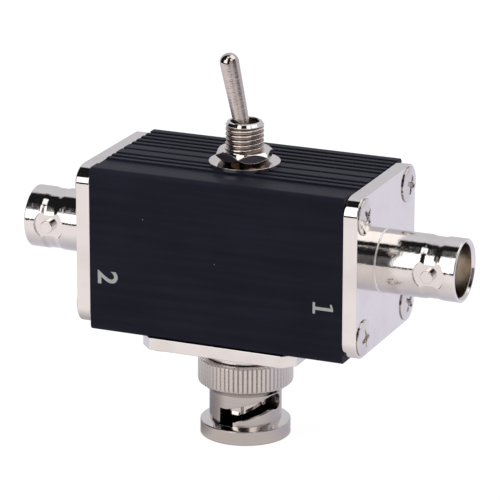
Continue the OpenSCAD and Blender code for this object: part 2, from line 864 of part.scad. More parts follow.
module tx_flange_screws() {
    color(nickel)
    for (x = [-1, 1], y = [-1, 1])
        translate([x * flange_screw_x, y * flange_screw_y, flange_z])
            mirror([0, 0, 1])
                pan_screw(flange_screw_l, 13 * x + 8 * y);
}

// Outer contact: a head inside the housing, a shank through the flange, and a sleeve slit into four
module tx_plug_body() {
    sleeve_r = sleeve_d / 2;
    bore_r = sleeve_bore_d / 2;
    nose = 0.25;
    slit_l = 6;
    color(nickel)
    difference() {
        rotate_extrude()
            polygon([
                [bore_r, sleeve_z], [sleeve_r - nose, sleeve_z], [sleeve_r, sleeve_z + nose],
                [sleeve_r, shoulder_face_z], [shank_r, shoulder_face_z], [shank_r, ring_z],
                [ring_groove_r, ring_z], [ring_groove_r, ring_z + ring_t], [shank_r, ring_z + ring_t],
                [shank_r, housing_z], [plug_head_r, housing_z], [plug_head_r, housing_z + plug_head_t],
                [bore_r, housing_z + plug_head_t]
            ]);
        for (a = [0, 90])
            rotate([0, 0, slit_turn + a])
                translate([-10, -slit_w / 2, sleeve_z - 1])
                    cube([20, slit_w, slit_l + 1]);
    }
}

module tx_insulator() {
    color(white_plastic)
    difference() {
        translate([0, 0, sleeve_z + 1])
            cylinder(h = housing_z + plug_head_t - sleeve_z - 1, r = sleeve_bore_d / 2 - thread_gap);
        cylinder(h = plug_step_z, r = nose_d / 2 + face_gap);
        translate([0, 0, plug_step_z - 1])
            cylinder(h = 20, r = plug_pin_r + thread_gap);
    }
}

module tx_centre_pin() {
    tip_bevel = 0.3;
    color(gold)
    difference() {
        rotate_extrude()
            polygon([
                [0, pin_tip_z], [pin_d / 2 - tip_bevel, pin_tip_z], [pin_d / 2, pin_tip_z + 2 * tip_bevel],
                [pin_d / 2, plug_step_z], [plug_pin_r, plug_step_z], [plug_pin_r, plug_pin_top],
                [0, plug_pin_top]
            ]);
        translate([0, 0, plug_pin_top - cup_depth])
            cylinder(h = cup_depth + 1, r = lead_r + hole_gap);
    }
}

module tx_gasket() {
    color([0.75, 0.30, 0.22])
    translate([0, 0, shoulder_face_z - gasket_t])
        difference() {
            cylinder(h = gasket_t, r = shank_r + 0.25);
            translate([0, 0, -1])
                cylinder(h = gasket_t + 2, r = sleeve_d / 2 + run_gap);
        }
}

// Split ring snapped into the shank's groove
module tx_retaining_ring() {
    color(satin_nickel)
    translate([0, 0, ring_z + thread_gap / 2])
        difference() {
            cylinder(h = ring_t - thread_gap, r = ring_r);
            translate([0, 0, -1])
                cylinder(h = ring_t + 2, r = ring_groove_r + thread_gap);
            translate([0, -0.75, -1])
                cube([10, 1.5, ring_t + 2]);
        }
}

// Three-wave spring washer between the retaining ring and the thrust washer
module tx_wave_spring() {
    steps = 48;
    strip_t = 0.25;
    inner = shank_r + 0.15;
    outer = ring_r;
    middle_z = ring_z + ring_t + spring_h / 2;
    swing = spring_h / 2 - strip_t / 2 - run_gap;
    points = [
        for (i = [0:steps - 1], p = [0:3])
            let (a = i * 360 / steps, r = p == 0 || p == 3 ? inner : outer,
                 z = middle_z + swing * sin(3 * a) + (p < 2 ? -strip_t : strip_t) / 2)
            [r * cos(a), r * sin(a), z]
    ];
    color(satin_nickel)
    polyhedron(points, loop_faces(steps, 4));
}

module tx_thrust_washer() {
    color(satin_nickel)
    translate([0, 0, thrust_z])
        difference() {
            cylinder(h = thrust_t - run_gap, r = ring_r);
            translate([0, 0, -1])
                cylinder(h = thrust_t + 2, r = shank_r + face_gap);
        }
}

// Straight knurl: flat crests with narrow valleys between them
module knurl_section() {
    step = 360 / knurl_n;
    crest = knurl_d / 2;
    polygon([
        for (i = [0:knurl_n - 1], p = [0:3])
            let (a = (i + [0, 0.16, 0.34, 0.84][p]) * step, r = p < 2 ? crest - knurl_depth : crest)
            [r * cos(a), r * sin(a)]
    ]);
}

// Helical slot that climbs from the entry and runs level before the lock
module slot_cutter() {
    inner = 4.2;
    outer = 6.4;
    points = [
        for (i = [0:slot_steps], p = [0:3])
            let (t = i / slot_steps, a = slot_start + slot_turn * t, r = p == 0 || p == 3 ? inner : outer,
                 z = slot_z + slot_rise * min(1, t / ramp_share) + (p < 2 ? -slot_w : slot_w) / 2)
            [r * cos(a), r * sin(a), z]
    ];
    polyhedron(points, tube_faces(slot_steps + 1, 4));
    rotate([0, 0, slot_start])
        translate([0, -slot_w / 2, -1])
            cube([lug_span / 2 + 0.25, slot_w, slot_z + slot_w / 2 - run_gap + 1]);
    rotate([0, 0, slot_start + slot_turn])
        translate([3.6, 0, lock_z])
            rotate([0, 90, 0])
                cylinder(h = 3, r = lock_d / 2);
}

module tx_coupling_nut() {
    rim_r = rim_d / 2;
    barrel_r = nut_barrel_d / 2;
    core_r = knurl_d / 2 - knurl_depth;
    bore_r = nut_bore_d / 2;
    color(satin_nickel)
    difference() {
        union() {
            rotate_extrude()
                polygon([
                    [0, 0], [rim_r - edge_bevel, 0], [rim_r, edge_bevel], [rim_r, rim_h - edge_bevel / 2],
                    [rim_r - edge_bevel / 2, rim_h], [barrel_r, rim_h + 0.25], [barrel_r, skirt_z],
                    [skirt_r, skirt_z], [core_r - 0.15, knurl_z], [core_r - 0.15, nut_l], [0, nut_l]
                ]);
            intersection() {
                translate([0, 0, knurl_z])
                    linear_extrude(knurl_l)
                        knurl_section();
                rotate_extrude()
                    polygon([
                        [0, knurl_z], [core_r - 0.05, knurl_z], [knurl_d / 2 + eps, knurl_z + 0.4],
                        [knurl_d / 2 + eps, nut_l - 0.25], [core_r + 0.05, nut_l], [0, nut_l]
                    ]);
            }
        }
        rotate_extrude()
            polygon([
                [0, -1], [bore_r + 1.3, -1], [bore_r, 0.3], [bore_r, pocket_z], [pocket_r, pocket_z],
                [pocket_r, lip_z], [shank_r + face_gap, lip_z], [shank_r + face_gap, nut_l + 1], [0, nut_l + 1]
            ]);
        for (a = [0, 180])
            rotate([0, 0, a])
                slot_cutter();
    }
}

// Bare wire from a jack's solder cup through the hole of its terminal
module lead(side) {
    far = cup_end + 1.2;
    run = far - terminal_pitch;
    angle = atan2(toggle_set, cup_end - terminal_pitch);
    color(gold)
    translate([side * terminal_pitch, toggle_y, jack_z])
        rotate([0, 0, side * angle])
            rotate([0, side * 90, 0])
                translate([0, 0, -0.8])
                    cylinder(h = run + 0.8, r = lead_r);
}
module lead_left() { lead(-1); }
module lead_right() { lead(1); }

module lead_tx() {
    bottom = plug_pin_top - cup_depth;
    color(gold)
    translate([0, 0, bottom])
        cylinder(h = terminal_foot - bottom, r = lead_r);
}

housing();
end_plate_left();
end_plate_right();
plate_screws_left();
plate_screws_right();
jack_shell_left();
jack_shell_right();
jack_lugs_left();
jack_lugs_right();
jack_insulator_left();
jack_insulator_right();
jack_contact_left();
jack_contact_right();
jack_washer_left();
jack_washer_right();
jack_nut_left();
jack_nut_right();
toggle_bushing();
toggle_washer();
toggle_nut();
toggle_frame();
toggle_case();
toggle_lever();
toggle_plunger();
toggle_spring();
toggle_rocker();
terminal_common();
terminal_left();
terminal_right();
tx_flange();
tx_flange_screws();
tx_plug_body();
tx_insulator();
tx_centre_pin();
tx_gasket();
tx_retaining_ring();
tx_wave_spring();
tx_thrust_washer();
tx_coupling_nut();
lead_left();
lead_right();
lead_tx();
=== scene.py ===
"""Coaxial antenna switch: its visible surfaces, finishes and studio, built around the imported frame."""

import math

import bmesh
import bpy
import numpy as np
from mathutils import Matrix, Vector


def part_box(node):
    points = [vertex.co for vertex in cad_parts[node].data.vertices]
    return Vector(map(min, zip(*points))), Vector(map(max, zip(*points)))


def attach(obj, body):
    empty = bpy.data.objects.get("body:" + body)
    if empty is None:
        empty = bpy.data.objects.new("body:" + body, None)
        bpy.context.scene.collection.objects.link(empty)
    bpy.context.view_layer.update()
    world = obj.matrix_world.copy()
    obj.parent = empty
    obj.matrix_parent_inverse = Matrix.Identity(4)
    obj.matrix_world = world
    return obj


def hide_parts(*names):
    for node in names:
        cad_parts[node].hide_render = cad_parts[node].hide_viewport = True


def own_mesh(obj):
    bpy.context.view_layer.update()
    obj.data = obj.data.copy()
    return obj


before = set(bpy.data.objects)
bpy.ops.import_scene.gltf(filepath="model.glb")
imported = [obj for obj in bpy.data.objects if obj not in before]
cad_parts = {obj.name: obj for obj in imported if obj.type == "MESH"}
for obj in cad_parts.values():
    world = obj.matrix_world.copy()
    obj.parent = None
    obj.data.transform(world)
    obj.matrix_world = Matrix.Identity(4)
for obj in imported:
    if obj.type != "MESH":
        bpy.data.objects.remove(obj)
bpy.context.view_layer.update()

bl_info = {
    "name": "Coaxial antenna switch",
    "version": (1, 0, 0),
    "blender": (4, 5, 0),
    "location": "3D View > Sidebar > Antenna switch",
    "description": "Builds the surfaces, finishes and studio of a two-way coaxial antenna switch",
    "category": "Object",
}

MM = 0.001


def box_mm(node):
    """Lowest and highest corner of a node, in millimetres."""
    low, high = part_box(node)
    return np.array(low) / MM, np.array(high) / MM


HOUSING = box_mm("housing")
PLATE = box_mm("end_plate_right")
SHELL = box_mm("jack_shell_right")
LUGS = box_mm("jack_lugs_right")
SCREWS = box_mm("plate_screws_right")
BUSHING = box_mm("toggle_bushing")
RING = box_mm("toggle_washer")
HEX = box_mm("toggle_nut")
FLANGE = box_mm("tx_flange")
FLANGE_SCREWS = box_mm("tx_flange_screws")
PLUG = box_mm("tx_plug_body")

# The lengths of shapes are in millimetres. Property groups, shader nodes, curves, lights and the camera's distance
# have theirs in metres.
GROOVE_DEPTH = 0.3
FOOT_FLARE, WAIST = 0.15, 0.15
JACK_Z = (SHELL[0][2] + SHELL[1][2]) / 2
JACK_R = (SHELL[1][1] - SHELL[0][1]) / 2 - FOOT_FLARE
MOUTH_X = SHELL[1][0]
MOUTH_R, INNER_R = 4.1, 3.12
LUG_X, FLOOR_X = (LUGS[0][0] + LUGS[1][0]) / 2, MOUTH_X - 8.3
TOGGLE_Y = (BUSHING[0][1] + BUSHING[1][1]) / 2
BUSHING_TOP = BUSHING[1][2]
STAND = np.array([0.0, TOGGLE_Y, 0.0])
PIVOT = np.array([0.0, TOGGLE_Y, BUSHING_TOP - 2.95])
LEAN = math.radians(12.25)
HEAD_R, HEAD_SIDE = 2.8, 0.2
HEAD_DOME = SCREWS[1][0] - PLATE[1][0] - HEAD_SIDE

# The coupling nut: its bore, its barrel and its rim, and the slots' entry, width, climb and lock hole
NUT_BORE, NUT_R, RIM_TOP, NUT_TOP = 4.95, 5.65, 2.45, 12.75
SLOT_START, SLOT_TURN, SLOT_HALF = math.radians(-99.5), math.pi / 2, 1.175
SLOT_LOW, SLOT_CLIMB, SLOT_LEVEL_FROM = 4.0, 1.95, 0.85
LOCK_Z, LOCK_R = 5.85, 1.25


# ---------------------------------------------------------------- surfaces


def rounded(corners, radii, steps=5, closed=True, hair=0.015):
    """Outline whose corners become arcs. Each arc leaves a side at its radius over the tangent of half the
    corner's angle, and a point a hair outside each end keeps the flats beside it flat when they are shaded."""
    p = np.asarray(corners, float)
    r = np.broadcast_to(np.asarray(radii, float), (len(p),))
    out = []
    for i in range(len(p)):
        if r[i] <= 0 or (not closed and i in (0, len(p) - 1)):
            out.append(p[i][None])
            continue
        a, b = p[i - 1] - p[i], p[(i + 1) % len(p)] - p[i]
        la, lb = np.linalg.norm(a), np.linalg.norm(b)
        a, b = a / la, b / lb
        half = math.acos(np.clip(a @ b, -1, 1)) / 2
        reach = min(r[i] / math.tan(half), 0.48 * la, 0.48 * lb)
        arc_r = reach * math.tan(half)
        centre = p[i] + (a + b) / np.linalg.norm(a + b) * arc_r / math.sin(half)
        u, v = p[i] + a * reach - centre, p[i] + b * reach - centre
        turn = (math.atan2(v[1], v[0]) - math.atan2(u[1], u[0]) + math.pi) % (2 * math.pi) - math.pi
        t = math.atan2(u[1], u[0]) + turn * np.linspace(0, 1, steps + 1)
        gap = min(hair, 0.015 * min(la, lb))
        out += [
            (p[i] + a * (reach + gap))[None],
            centre + arc_r * np.stack([np.cos(t), np.sin(t)], 1),
            (p[i] + b * (reach + gap))[None],
        ]
    return np.concatenate(out)


def quads(n, m, wrap_n=False):
    """Faces of an n by m grid of points, each joining a point to its next neighbours: closed along m, and along n
    where asked."""
    i = np.arange(n if wrap_n else n - 1)[:, None]
    j = np.arange(m)[None, :]
    k, l = (i + 1) % n, (j + 1) % m
    return np.stack([i * m + j, i * m + l, k * m + l, k * m + j], -1).reshape(-1, 4)


def angles(steps, start=0.0):
    """Equal turns round a circle."""
    return start + np.arange(steps) * 2 * math.pi / steps


def around(r, z, theta):
    """Points at radius r and height z, where both may change with the angle t: x = r cos t, y = r sin t."""
    x, y, z = np.broadcast_arrays(r * np.cos(theta), r * np.sin(theta), z)
    return np.stack([x, y, z], -1).reshape(-1, 3)


def turned(profile, theta, closed=False):
    """A profile of (radius, height) points carried round the Z axis."""
    return around(profile[:, :1], profile[:, 1:2], theta), quads(len(profile), len(theta), closed)


def tube(inner, outer, low, high, radii, steps, columns):
    """Tube whose section is a rectangle with round corners, listed from the inside of its foot round."""
    corners = [[inner, low], [outer, low], [outer, high], [inner, high]]
    return turned(rounded(corners, radii, steps), angles(columns), closed=True)


def along_jack(shape, side):
    """A shape made about +Z laid along a jack's axis, towards +X or -X: height becomes x, x becomes z."""
    points, faces = shape
    return np.stack([side * points[:, 2], points[:, 1], points[:, 0] + JACK_Z], 1), faces


def leaned(points):
    """Points made about +Z stood on the lever's pivot and leant to the left: x and z turn by the lean."""
    c, s = math.cos(LEAN), math.sin(LEAN)
    x, y, z = points[:, 0], points[:, 1], points[:, 2]
    return np.stack([x * c - z * s, y, x * s + z * c], 1) + PIVOT


def rectangle(w, h, r, inset):
    """Rectangle with round corners, drawn inwards by inset: its sides and its corner radius shrink together."""
    x, y = w / 2 - inset, h / 2 - inset
    return rounded([[x, -y], [x, y], [-x, y], [-x, -y]], max(r - inset, 0.02), 10)


def cut_rectangle(w, h, cut, inset):
    """Rectangle with its corners cut off, drawn inwards by inset: a cut side shortens by 2 less the root of 2."""
    x, y, c = w / 2 - inset, h / 2 - inset, cut - inset * (2 - math.sqrt(2))
    right = [[x - c, -y], [x, c - y], [x, y - c], [x - c, y]]
    return rounded(right + [[c - x, y], [-x, y - c], [-x, c - y], [c - x, -y]], 0.07, 4)


def slab(outline, thick, edge):
    """Plate with rounded edges: its outline, a function of the inset, is drawn inwards along a quarter circle
    at each face. A ring a hair inside each circle keeps the side between them flat when it is shaded."""
    t = np.linspace(0, math.pi / 2, 6)
    inner, round_in = [edge + 0.02], edge * (1 - np.sin(t))
    inset = np.concatenate([inner, round_in, [0, 0], round_in[::-1], inner])
    rise, hair = edge * (1 - np.cos(t)), edge + 0.015
    height = np.concatenate([[0], rise, [hair, thick - hair], thick - rise[::-1], [thick]])
    rings = np.stack([outline(d) for d in inset])
    points = np.concatenate([rings, np.broadcast_to(height[:, None, None], rings.shape[:2] + (1,))], -1)
    ends = np.zeros((1, rings.shape[1], 3))
    points = np.concatenate([ends, points, ends + [0, 0, thick]])
    return points.reshape(-1, 3), quads(len(points), points.shape[1])


def joined(*parts):
    """Several (points, faces) pairs as one pair."""
    shift = np.cumsum([0] + [len(p) for p, _ in parts[:-1]])
    return np.concatenate([p for p, _ in parts]), np.concatenate([f + s for (_, f), s in zip(parts, shift)])


def smooth(low, high, value):
    """Smooth step from 0 at low to 1 at high."""
    t = np.clip((value - low) / (high - low), 0, 1)
    return t * t * (3 - 2 * t)


def piece(name, shape, finishes, nodes, body="body", sharp=32, caps=(), which=None):
    """Makes a mesh of (points in millimetres, four-cornered faces), merges its doubles, closes the listed caps,
    points its faces outwards, and hands it to its body and the nodes that it stands for. Where it has more
    than one finish, which gives each face's place in their list."""
    points, faces = shape
    mesh = bpy.data.meshes.new(name)
    mesh.vertices.add(len(points))
    mesh.vertices.foreach_set("co", (points * MM).astype(np.float32).ravel())
    mesh.loops.add(faces.size)
    mesh.loops.foreach_set("vertex_index", faces.astype(np.int32).ravel())
    mesh.polygons.add(len(faces))
    mesh.polygons.foreach_set("loop_start", np.arange(0, faces.size, 4, dtype=np.int32))
    mesh.polygons.foreach_set("loop_total", np.full(len(faces), 4, dtype=np.int32))
    for finish in finishes:
        mesh.materials.append(finish)
    if which is not None:
        mesh.polygons.foreach_set("material_index", which.astype(np.int32))
    mesh.update(calc_edges=True)
    bm = bmesh.new()
    bm.from_mesh(mesh)
    bm.verts.ensure_lookup_table()
    for cap in caps:
        bm.faces.new([bm.verts[int(i)] for i in cap])
    bmesh.ops.remove_doubles(bm, verts=bm.verts, dist=2e-7)
    bmesh.ops.dissolve_degenerate(bm, dist=1e-8, edges=bm.edges)
    bmesh.ops.recalc_face_normals(bm, faces=bm.faces)
    bm.to_mesh(mesh)
    bm.free()
    mesh.shade_smooth()
    mesh.set_sharp_from_angle(angle=math.radians(sharp))
    obj = bpy.data.objects.new(name, mesh)
    bpy.context.scene.collection.objects.link(obj)
    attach(obj, body)
    if nodes:
        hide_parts(*nodes)
    return obj


# ---------------------------------------------------------------- sizes and colours


def length_property(name, description, metres):
    """A length with its unit."""
    return bpy.props.FloatProperty(name=name, description=description, default=metres, unit="LENGTH", precision=5)


def colour_property(name, description, colour):
    """A colour with its swatch."""
    return bpy.props.FloatVectorProperty(name=name, description=description, default=colour, subtype="COLOR")


class SwitchSizes(bpy.types.PropertyGroup):
    """Sizes of the details that the surfaces add to the frame."""

    rib_edge: length_property("Rib edge", "Radius of the ribs' top edges", 0.00014)
    plate_edge: length_property("Plate edge", "Radius of the end plates' edges", 0.00014)
    flange_edge: length_property("Flange edge", "Radius of the flange's edges", 0.00012)
    recess_depth: length_property("Recess depth", "Depth of the screws' cross recess", 0.00042)
    recess_reach: length_property("Recess reach", "Length of each arm of the cross recess", 0.00155)
    thread_pitch: length_property("Thread pitch", "Rise of the bushing's thread in one turn", 0.00075)
    knurl_teeth: bpy.props.IntProperty(name="Knurl teeth", description="Teeth round the coupling nut", default=64)
    mark_height: length_property("Mark height", "Height of the printed numbers", 0.0033)


class SwitchColours(bpy.types.PropertyGroup):
    """Colours of the finishes."""

    anodised: colour_property("Anodised black", "Colour of the housing", (0.0090, 0.0090, 0.0152))
    nickel: colour_property("Nickel", "Colour of the polished nickel plate", (0.80, 0.765, 0.745))
    satin: colour_property("Satin nickel", "Colour of the turned nickel plate", (0.74, 0.70, 0.675))
    gold: colour_property("Gold", "Colour of the contacts", (0.83, 0.60, 0.25))
    insulator: colour_property("Insulator", "Colour of the insulators", (0.82, 0.81, 0.78))
    mark: colour_property("Mark", "Colour of the printed numbers", (0.36, 0.36, 0.35))
    floor: colour_property("Floor", "Colour of the floor", (0.9, 0.9, 0.9))


# ---------------------------------------------------------------- shader nodes


def fill(tree, node, inputs):
    """Fills or links a node's inputs, by name or index. A colour of three numbers gets its fourth."""
    for key, value in inputs.items():
        socket = node.inputs[key]
        if isinstance(value, bpy.types.NodeSocket):
            tree.links.new(value, socket)
        else:
            socket.default_value = (*value, 1.0) if socket.type == "RGBA" else value


def add(tree, kind, inputs, **settings):
    """Adds a shader node, sets its properties and fills its inputs."""
    node = tree.nodes.new("ShaderNode" + kind)
    for key, value in settings.items():
        setattr(node, key, value)
    fill(tree, node, inputs)
    return node


def maths(tree, operation, *values):
    """One Math node's output."""
    return add(tree, "Math", dict(enumerate(values)), operation=operation).outputs[0]


def product(tree, first, *others):
    """Several values multiplied."""
    for other in others:
        first = maths(tree, "MULTIPLY", first, other)
    return first


def largest(tree, first, *others):
    """The largest of several values."""
    for other in others:
        first = maths(tree, "MAXIMUM", first, other)
    return first


def spread(tree, value, low, high, out_low=0.0, out_high=1.0):
    """Smooth step of a value from one span to another."""
    spans = {"Value": value, "From Min": low, "From Max": high, "To Min": out_low, "To Max": out_high}
    return add(tree, "MapRange", spans, interpolation_type="SMOOTHSTEP").outputs[0]


def band(tree, value, rise_from, rise_to, fall_from, fall_to):
    """1 where a value is between two soft edges and 0 outside them."""
    rise = spread(tree, value, rise_from, rise_to)
    return product(tree, rise, spread(tree, value, fall_from, fall_to, 1.0, 0.0))


def mixed(tree, mask, first, second):
    """Colour that runs from one to another with a mask."""
    return add(tree, "Mix", {0: mask, 6: first, 7: second}, data_type="RGBA").outputs[2]


def noise(tree, place, scale, detail):
    """Noise at a place, as a value."""
    return add(tree, "TexNoise", {"Vector": place, "Scale": scale, "Detail": detail}).outputs["Fac"]


def vector(tree, operation, *values):
    """The outputs of a Vector Math node."""
    return add(tree, "VectorMath", dict(enumerate(values)), operation=operation).outputs


def bump(tree, height, strength, distance):
    """The normal that a height gives."""
    return add(tree, "Bump", {"Strength": strength, "Distance": distance, "Height": height}).outputs[0]


def shade(colour, factor):
    """A colour made lighter or darker."""
    return tuple(min(1.0, float(c) * f) for c, f in zip(colour, np.broadcast_to(factor, 3)))


def new_group(name, inputs, outputs):
    """A shader node group whose inputs have these values and whose outputs are all floats. Returns it, its input
    node's sockets and its output node."""
    group = bpy.data.node_groups.new(name, "ShaderNodeTree")
    for label, value in inputs.items():
        kind = "NodeSocketFloat" if isinstance(value, float) else "NodeSocketVector"
        group.interface.new_socket(label, in_out="INPUT", socket_type=kind).default_value = value
    for label in outputs:
        group.interface.new_socket(label, in_out="OUTPUT", socket_type="NodeSocketFloat")
    return group, group.nodes.new("NodeGroupInput").outputs, group.nodes.new("NodeGroupOutput")


def grouped(tree, build, inputs):
    """The outputs of a node of the group that a function builds. The group is built once and then shared."""
    group = bpy.data.node_groups.get(build.__name__) or build()
    return add(tree, "Group", inputs, node_tree=group).outputs


def handling_marks():
    """Group: soft smudges from broad noise and fine scratches from noise stretched along one direction.
    Roughness is the base plus smudges and scratches, Height is the plating's faint waviness, Mask the smudges."""
    values = {"Vector": (0.0, 0.0, 0.0), "Base Roughness": 0.05, "Smudge": 0.05, "Scratch": 0.03}
    values["Stretch"] = (1.0, 1.0, 8.0)
    t, start, end = new_group("handling_marks", values, ("Roughness", "Height", "Mask"))
    smudge = spread(t, noise(t, start["Vector"], 180.0, 3.0), 0.42, 0.68)
    fine = noise(t, vector(t, "MULTIPLY", start["Vector"], start["Stretch"])[0], 900.0, 4.0)
    scratch = spread(t, fine, 0.58, 0.72)
    rough = maths(t, "MULTIPLY_ADD", smudge, start["Smudge"], start["Base Roughness"])
    rough = maths(t, "MULTIPLY_ADD", scratch, start["Scratch"], rough)
    height = maths(t, "MULTIPLY_ADD", fine, 0.35, noise(t, start["Vector"], 700.0, 1.0))
    fill(t, end, {"Roughness": rough, "Height": height, "Mask": smudge})
    return t


def turning_lines():
    """Group: the fine rings that a lathe leaves, as noise of the distance along an axis, broken up a little
    round it."""
    values = {"Vector": (0.0, 0.0, 0.0), "Axis": (0.0, 0.0, 1.0), "Scale": 9000.0}
    t, start, end = new_group("turning_lines", values, ("Height", "Mask"))
    along = vector(t, "DOT_PRODUCT", start["Vector"], start["Axis"])["Value"]
    place = maths(t, "MULTIPLY_ADD", noise(t, start["Vector"], 260.0, 1.0), 0.00008, along)
    inputs = {"W": place, "Scale": start["Scale"], "Detail": 2.0}
    lines = add(t, "TexNoise", inputs, noise_dimensions="1D").outputs["Fac"]
    fill(t, end, {"Height": lines, "Mask": spread(t, lines, 0.35, 0.65)})
    return t


def dust():
    """Group: a few pale specks, one in some of the cells of a scattered pattern, each a small round dot."""
    values = {"Vector": (0.0, 0.0, 0.0), "Scale": 420.0, "Share": 0.1}
    t, start, end = new_group("dust", values, ("Mask",))
    cells = add(t, "TexVoronoi", {"Vector": start["Vector"], "Scale": start["Scale"]}).outputs
    dot = spread(t, cells["Distance"], 0.028, 0.05, 1.0, 0.0)
    pick = add(t, "SeparateColor", {0: cells["Color"]}).outputs[0]
    fill(t, end, {"Mask": product(t, dot, maths(t, "LESS_THAN", pick, start["Share"]))})
    return t


# ---------------------------------------------------------------- finishes


def new_material(name):
    """A material with only its shader and output; returns it, its tree, the shader and the Object coordinates."""
    material = bpy.data.materials.new(name)
    material.use_nodes = True
    tree = material.node_tree
    tree.nodes.clear()
    shader = add(tree, "BsdfPrincipled", {})
    add(tree, "OutputMaterial", {0: shader.outputs[0]})
    return material, tree, shader, add(tree, "TexCoord", {}).outputs["Object"]


def nickel(name, colour, rough, smudge, scratch, wave, stretch=(1.0, 1.0, 8.0), peel=0.0):
    """Polished nickel plate: a metal whose gloss is broken by smudges and fine scratches, over a faint waviness.
    Peel is the share of a fine grain in the plating, like orange peel."""
    material, t, shader, place = new_material(name)
    inputs = {"Vector": place, "Base Roughness": rough, "Smudge": smudge, "Scratch": scratch, "Stretch": stretch}
    marks = grouped(t, handling_marks, inputs)
    height = marks["Height"]
    if peel > 0:
        height = maths(t, "MULTIPLY_ADD", noise(t, place, 4200.0, 2.0), peel, height)
    fill(t, shader, {
        "Metallic": 1.0,
        "Base Color": mixed(t, marks["Mask"], colour, shade(colour, (0.94, 0.935, 0.93))),
        "Roughness": marks["Roughness"],
        "Normal": bump(t, height, wave, 0.0002),
    })
    return material


def satin_nickel(name, colour, axis=(0.0, 0.0, 1.0), rough=0.24, strength=0.16, polished_above=None, level=None):
    """Turned nickel plate: lathe rings about an axis lift the roughness and the bump.
    Past polished_above, a distance along the axis, the rings fade into a polished tip.
    Where level is given, painted shade darkens the colour above and below that height, as inside a barrel."""
    material, t, shader, place = new_material(name)
    inputs = {"Vector": place, "Base Roughness": rough, "Smudge": 0.06, "Scratch": 0.04}
    marks = grouped(t, handling_marks, inputs)
    rings = grouped(t, turning_lines, {"Vector": place, "Axis": axis})
    rough, height = maths(t, "MULTIPLY_ADD", rings["Mask"], 0.05, marks["Roughness"]), rings["Height"]
    if polished_above is not None:
        tip_rough, blend = 0.05, 0.0002
        along = vector(t, "DOT_PRODUCT", place, axis)["Value"]
        keep = spread(t, along, polished_above - blend, polished_above + blend, 1.0, 0.0)
        rough = maths(t, "MULTIPLY_ADD", maths(t, "SUBTRACT", rough, tip_rough), keep, tip_rough)
        height = product(t, height, keep)
    tone = mixed(t, rings["Mask"], colour, shade(colour, (0.9, 0.89, 0.88)))
    if level is not None:
        # painted shade: the colour darkens above and below the level, as inside a bore
        above = maths(t, "SUBTRACT", add(t, "SeparateXYZ", {0: place}).outputs[2], level)
        painted_bore_shade = spread(t, maths(t, "ABSOLUTE", above), 0.0010, 0.0038)
        tone = mixed(t, painted_bore_shade, tone, shade(colour, 0.2))
    normal = bump(t, height, strength, 0.00005)
    fill(t, shader, {"Metallic": 1.0, "Base Color": tone, "Roughness": rough, "Normal": normal})
    return material


def anodised_black(name, colour):
    """Anodised aluminium: a near-black coat with streaks drawn along X, fine grain, worn tone and some dust."""
    material, t, shader, place = new_material(name)
    drawn = noise(t, vector(t, "MULTIPLY", place, (0.05, 1.0, 1.0))[0], 900.0, 3.0)
    grain = noise(t, place, 7000.0, 2.0)
    patch = noise(t, place, 90.0, 3.0)
    specks = grouped(t, dust, {"Vector": place, "Share": 0.12})["Mask"]
    worn = maths(t, "MULTIPLY_ADD", drawn, 0.7, product(t, patch, 0.5))
    tone = mixed(t, spread(t, worn, 0.4, 0.85), colour, shade(colour, 1.5))
    height = maths(t, "MULTIPLY_ADD", drawn, 0.5, grain)
    fill(t, shader, {
        "Base Color": mixed(t, specks, tone, (0.16, 0.15, 0.15)),
        "Roughness": maths(t, "MULTIPLY_ADD", grain, 0.06, spread(t, drawn, 0.3, 0.7, 0.36, 0.41)),
        "Specular IOR Level": 0.06,
        "Specular Tint": (0.8, 0.8, 1.0),
        "Normal": bump(t, height, 0.12, 0.00003),
    })
    return material


def plain_finish(name, colour, rough, metallic=0.0, scale=1500.0, strength=0.08):
    """A plain finish with fine noise in its tone, gloss and surface: plastic, rubber, print, gold or copper."""
    material, t, shader, place = new_material(name)
    grain = noise(t, place, scale, 4.0)
    fill(t, shader, {
        "Base Color": mixed(t, spread(t, grain, 0.3, 0.7), colour, shade(colour, 0.9)),
        "Roughness": spread(t, grain, 0.25, 0.75, rough * 0.85, rough * 1.15),
        "Metallic": metallic,
        "Normal": bump(t, grain, strength, 0.00003),
    })
    return material


def recess_finish():
    """Painted shade for the screws' recesses and the sides under their heads: a darker metal, made once and
    shared.
    """
    name = "recess_painted_shade"
    return bpy.data.materials.get(name) or plain_finish(name, (0.42, 0.37, 0.33), 0.14, 1.0)


def dress(material, *names):
    """Gives carried-over nodes their finish."""
    for name in names:
        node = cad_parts[name]
        node.data.materials.clear()
        node.data.materials.append(material)


# ---------------------------------------------------------------- pieces


class Step:
    """What the operators share: each builds its pieces with the scene's sizes and colours."""

    def execute(self, context):
        self.build(context.scene.switch_sizes, context.scene.switch_colours)
        return {"FINISHED"}


def housing_outline(edge):
    """Outline in the (y, z) plane: a rectangle with round corners, its top cut by a recess and narrow grooves."""
    y, low, top = HOUSING[1][1], HOUSING[0][2], HOUSING[1][2]
    deep, corner, foot = top - GROOVE_DEPTH, 0.8, 0.08
    cuts = [(-9.2, -5.9)] + [(c - 0.4, c + 0.4) for c in (-4.55, -2.8)] + [(-0.3, 0.3)]
    cuts += [(c - 0.4, c + 0.4) for c in (2.8, 4.55, 6.3, 8.05, 9.8)]
    corners, radii = [[-y, low], [-y, top]], [corner, corner]
    for a, b in cuts:
        corners += [[a, top], [a + 0.03, deep], [b - 0.03, deep], [b, top]]
        radii += [edge, foot, foot, edge]
    return rounded(corners + [[y, top], [y, low]], radii + [corner, corner], 6)


def inward(outline, distance):
    """An outline moved inwards: each point goes along the mean of the normals of the two sides that meet there."""
    ahead = np.roll(outline, -1, 0) - outline
    ahead /= np.linalg.norm(ahead, axis=1)[:, None]
    tangent = ahead + np.roll(ahead, 1, 0)
    tangent /= np.linalg.norm(tangent, axis=1)[:, None]
    return outline + distance * np.stack([tangent[:, 1], -tangent[:, 0]], 1)


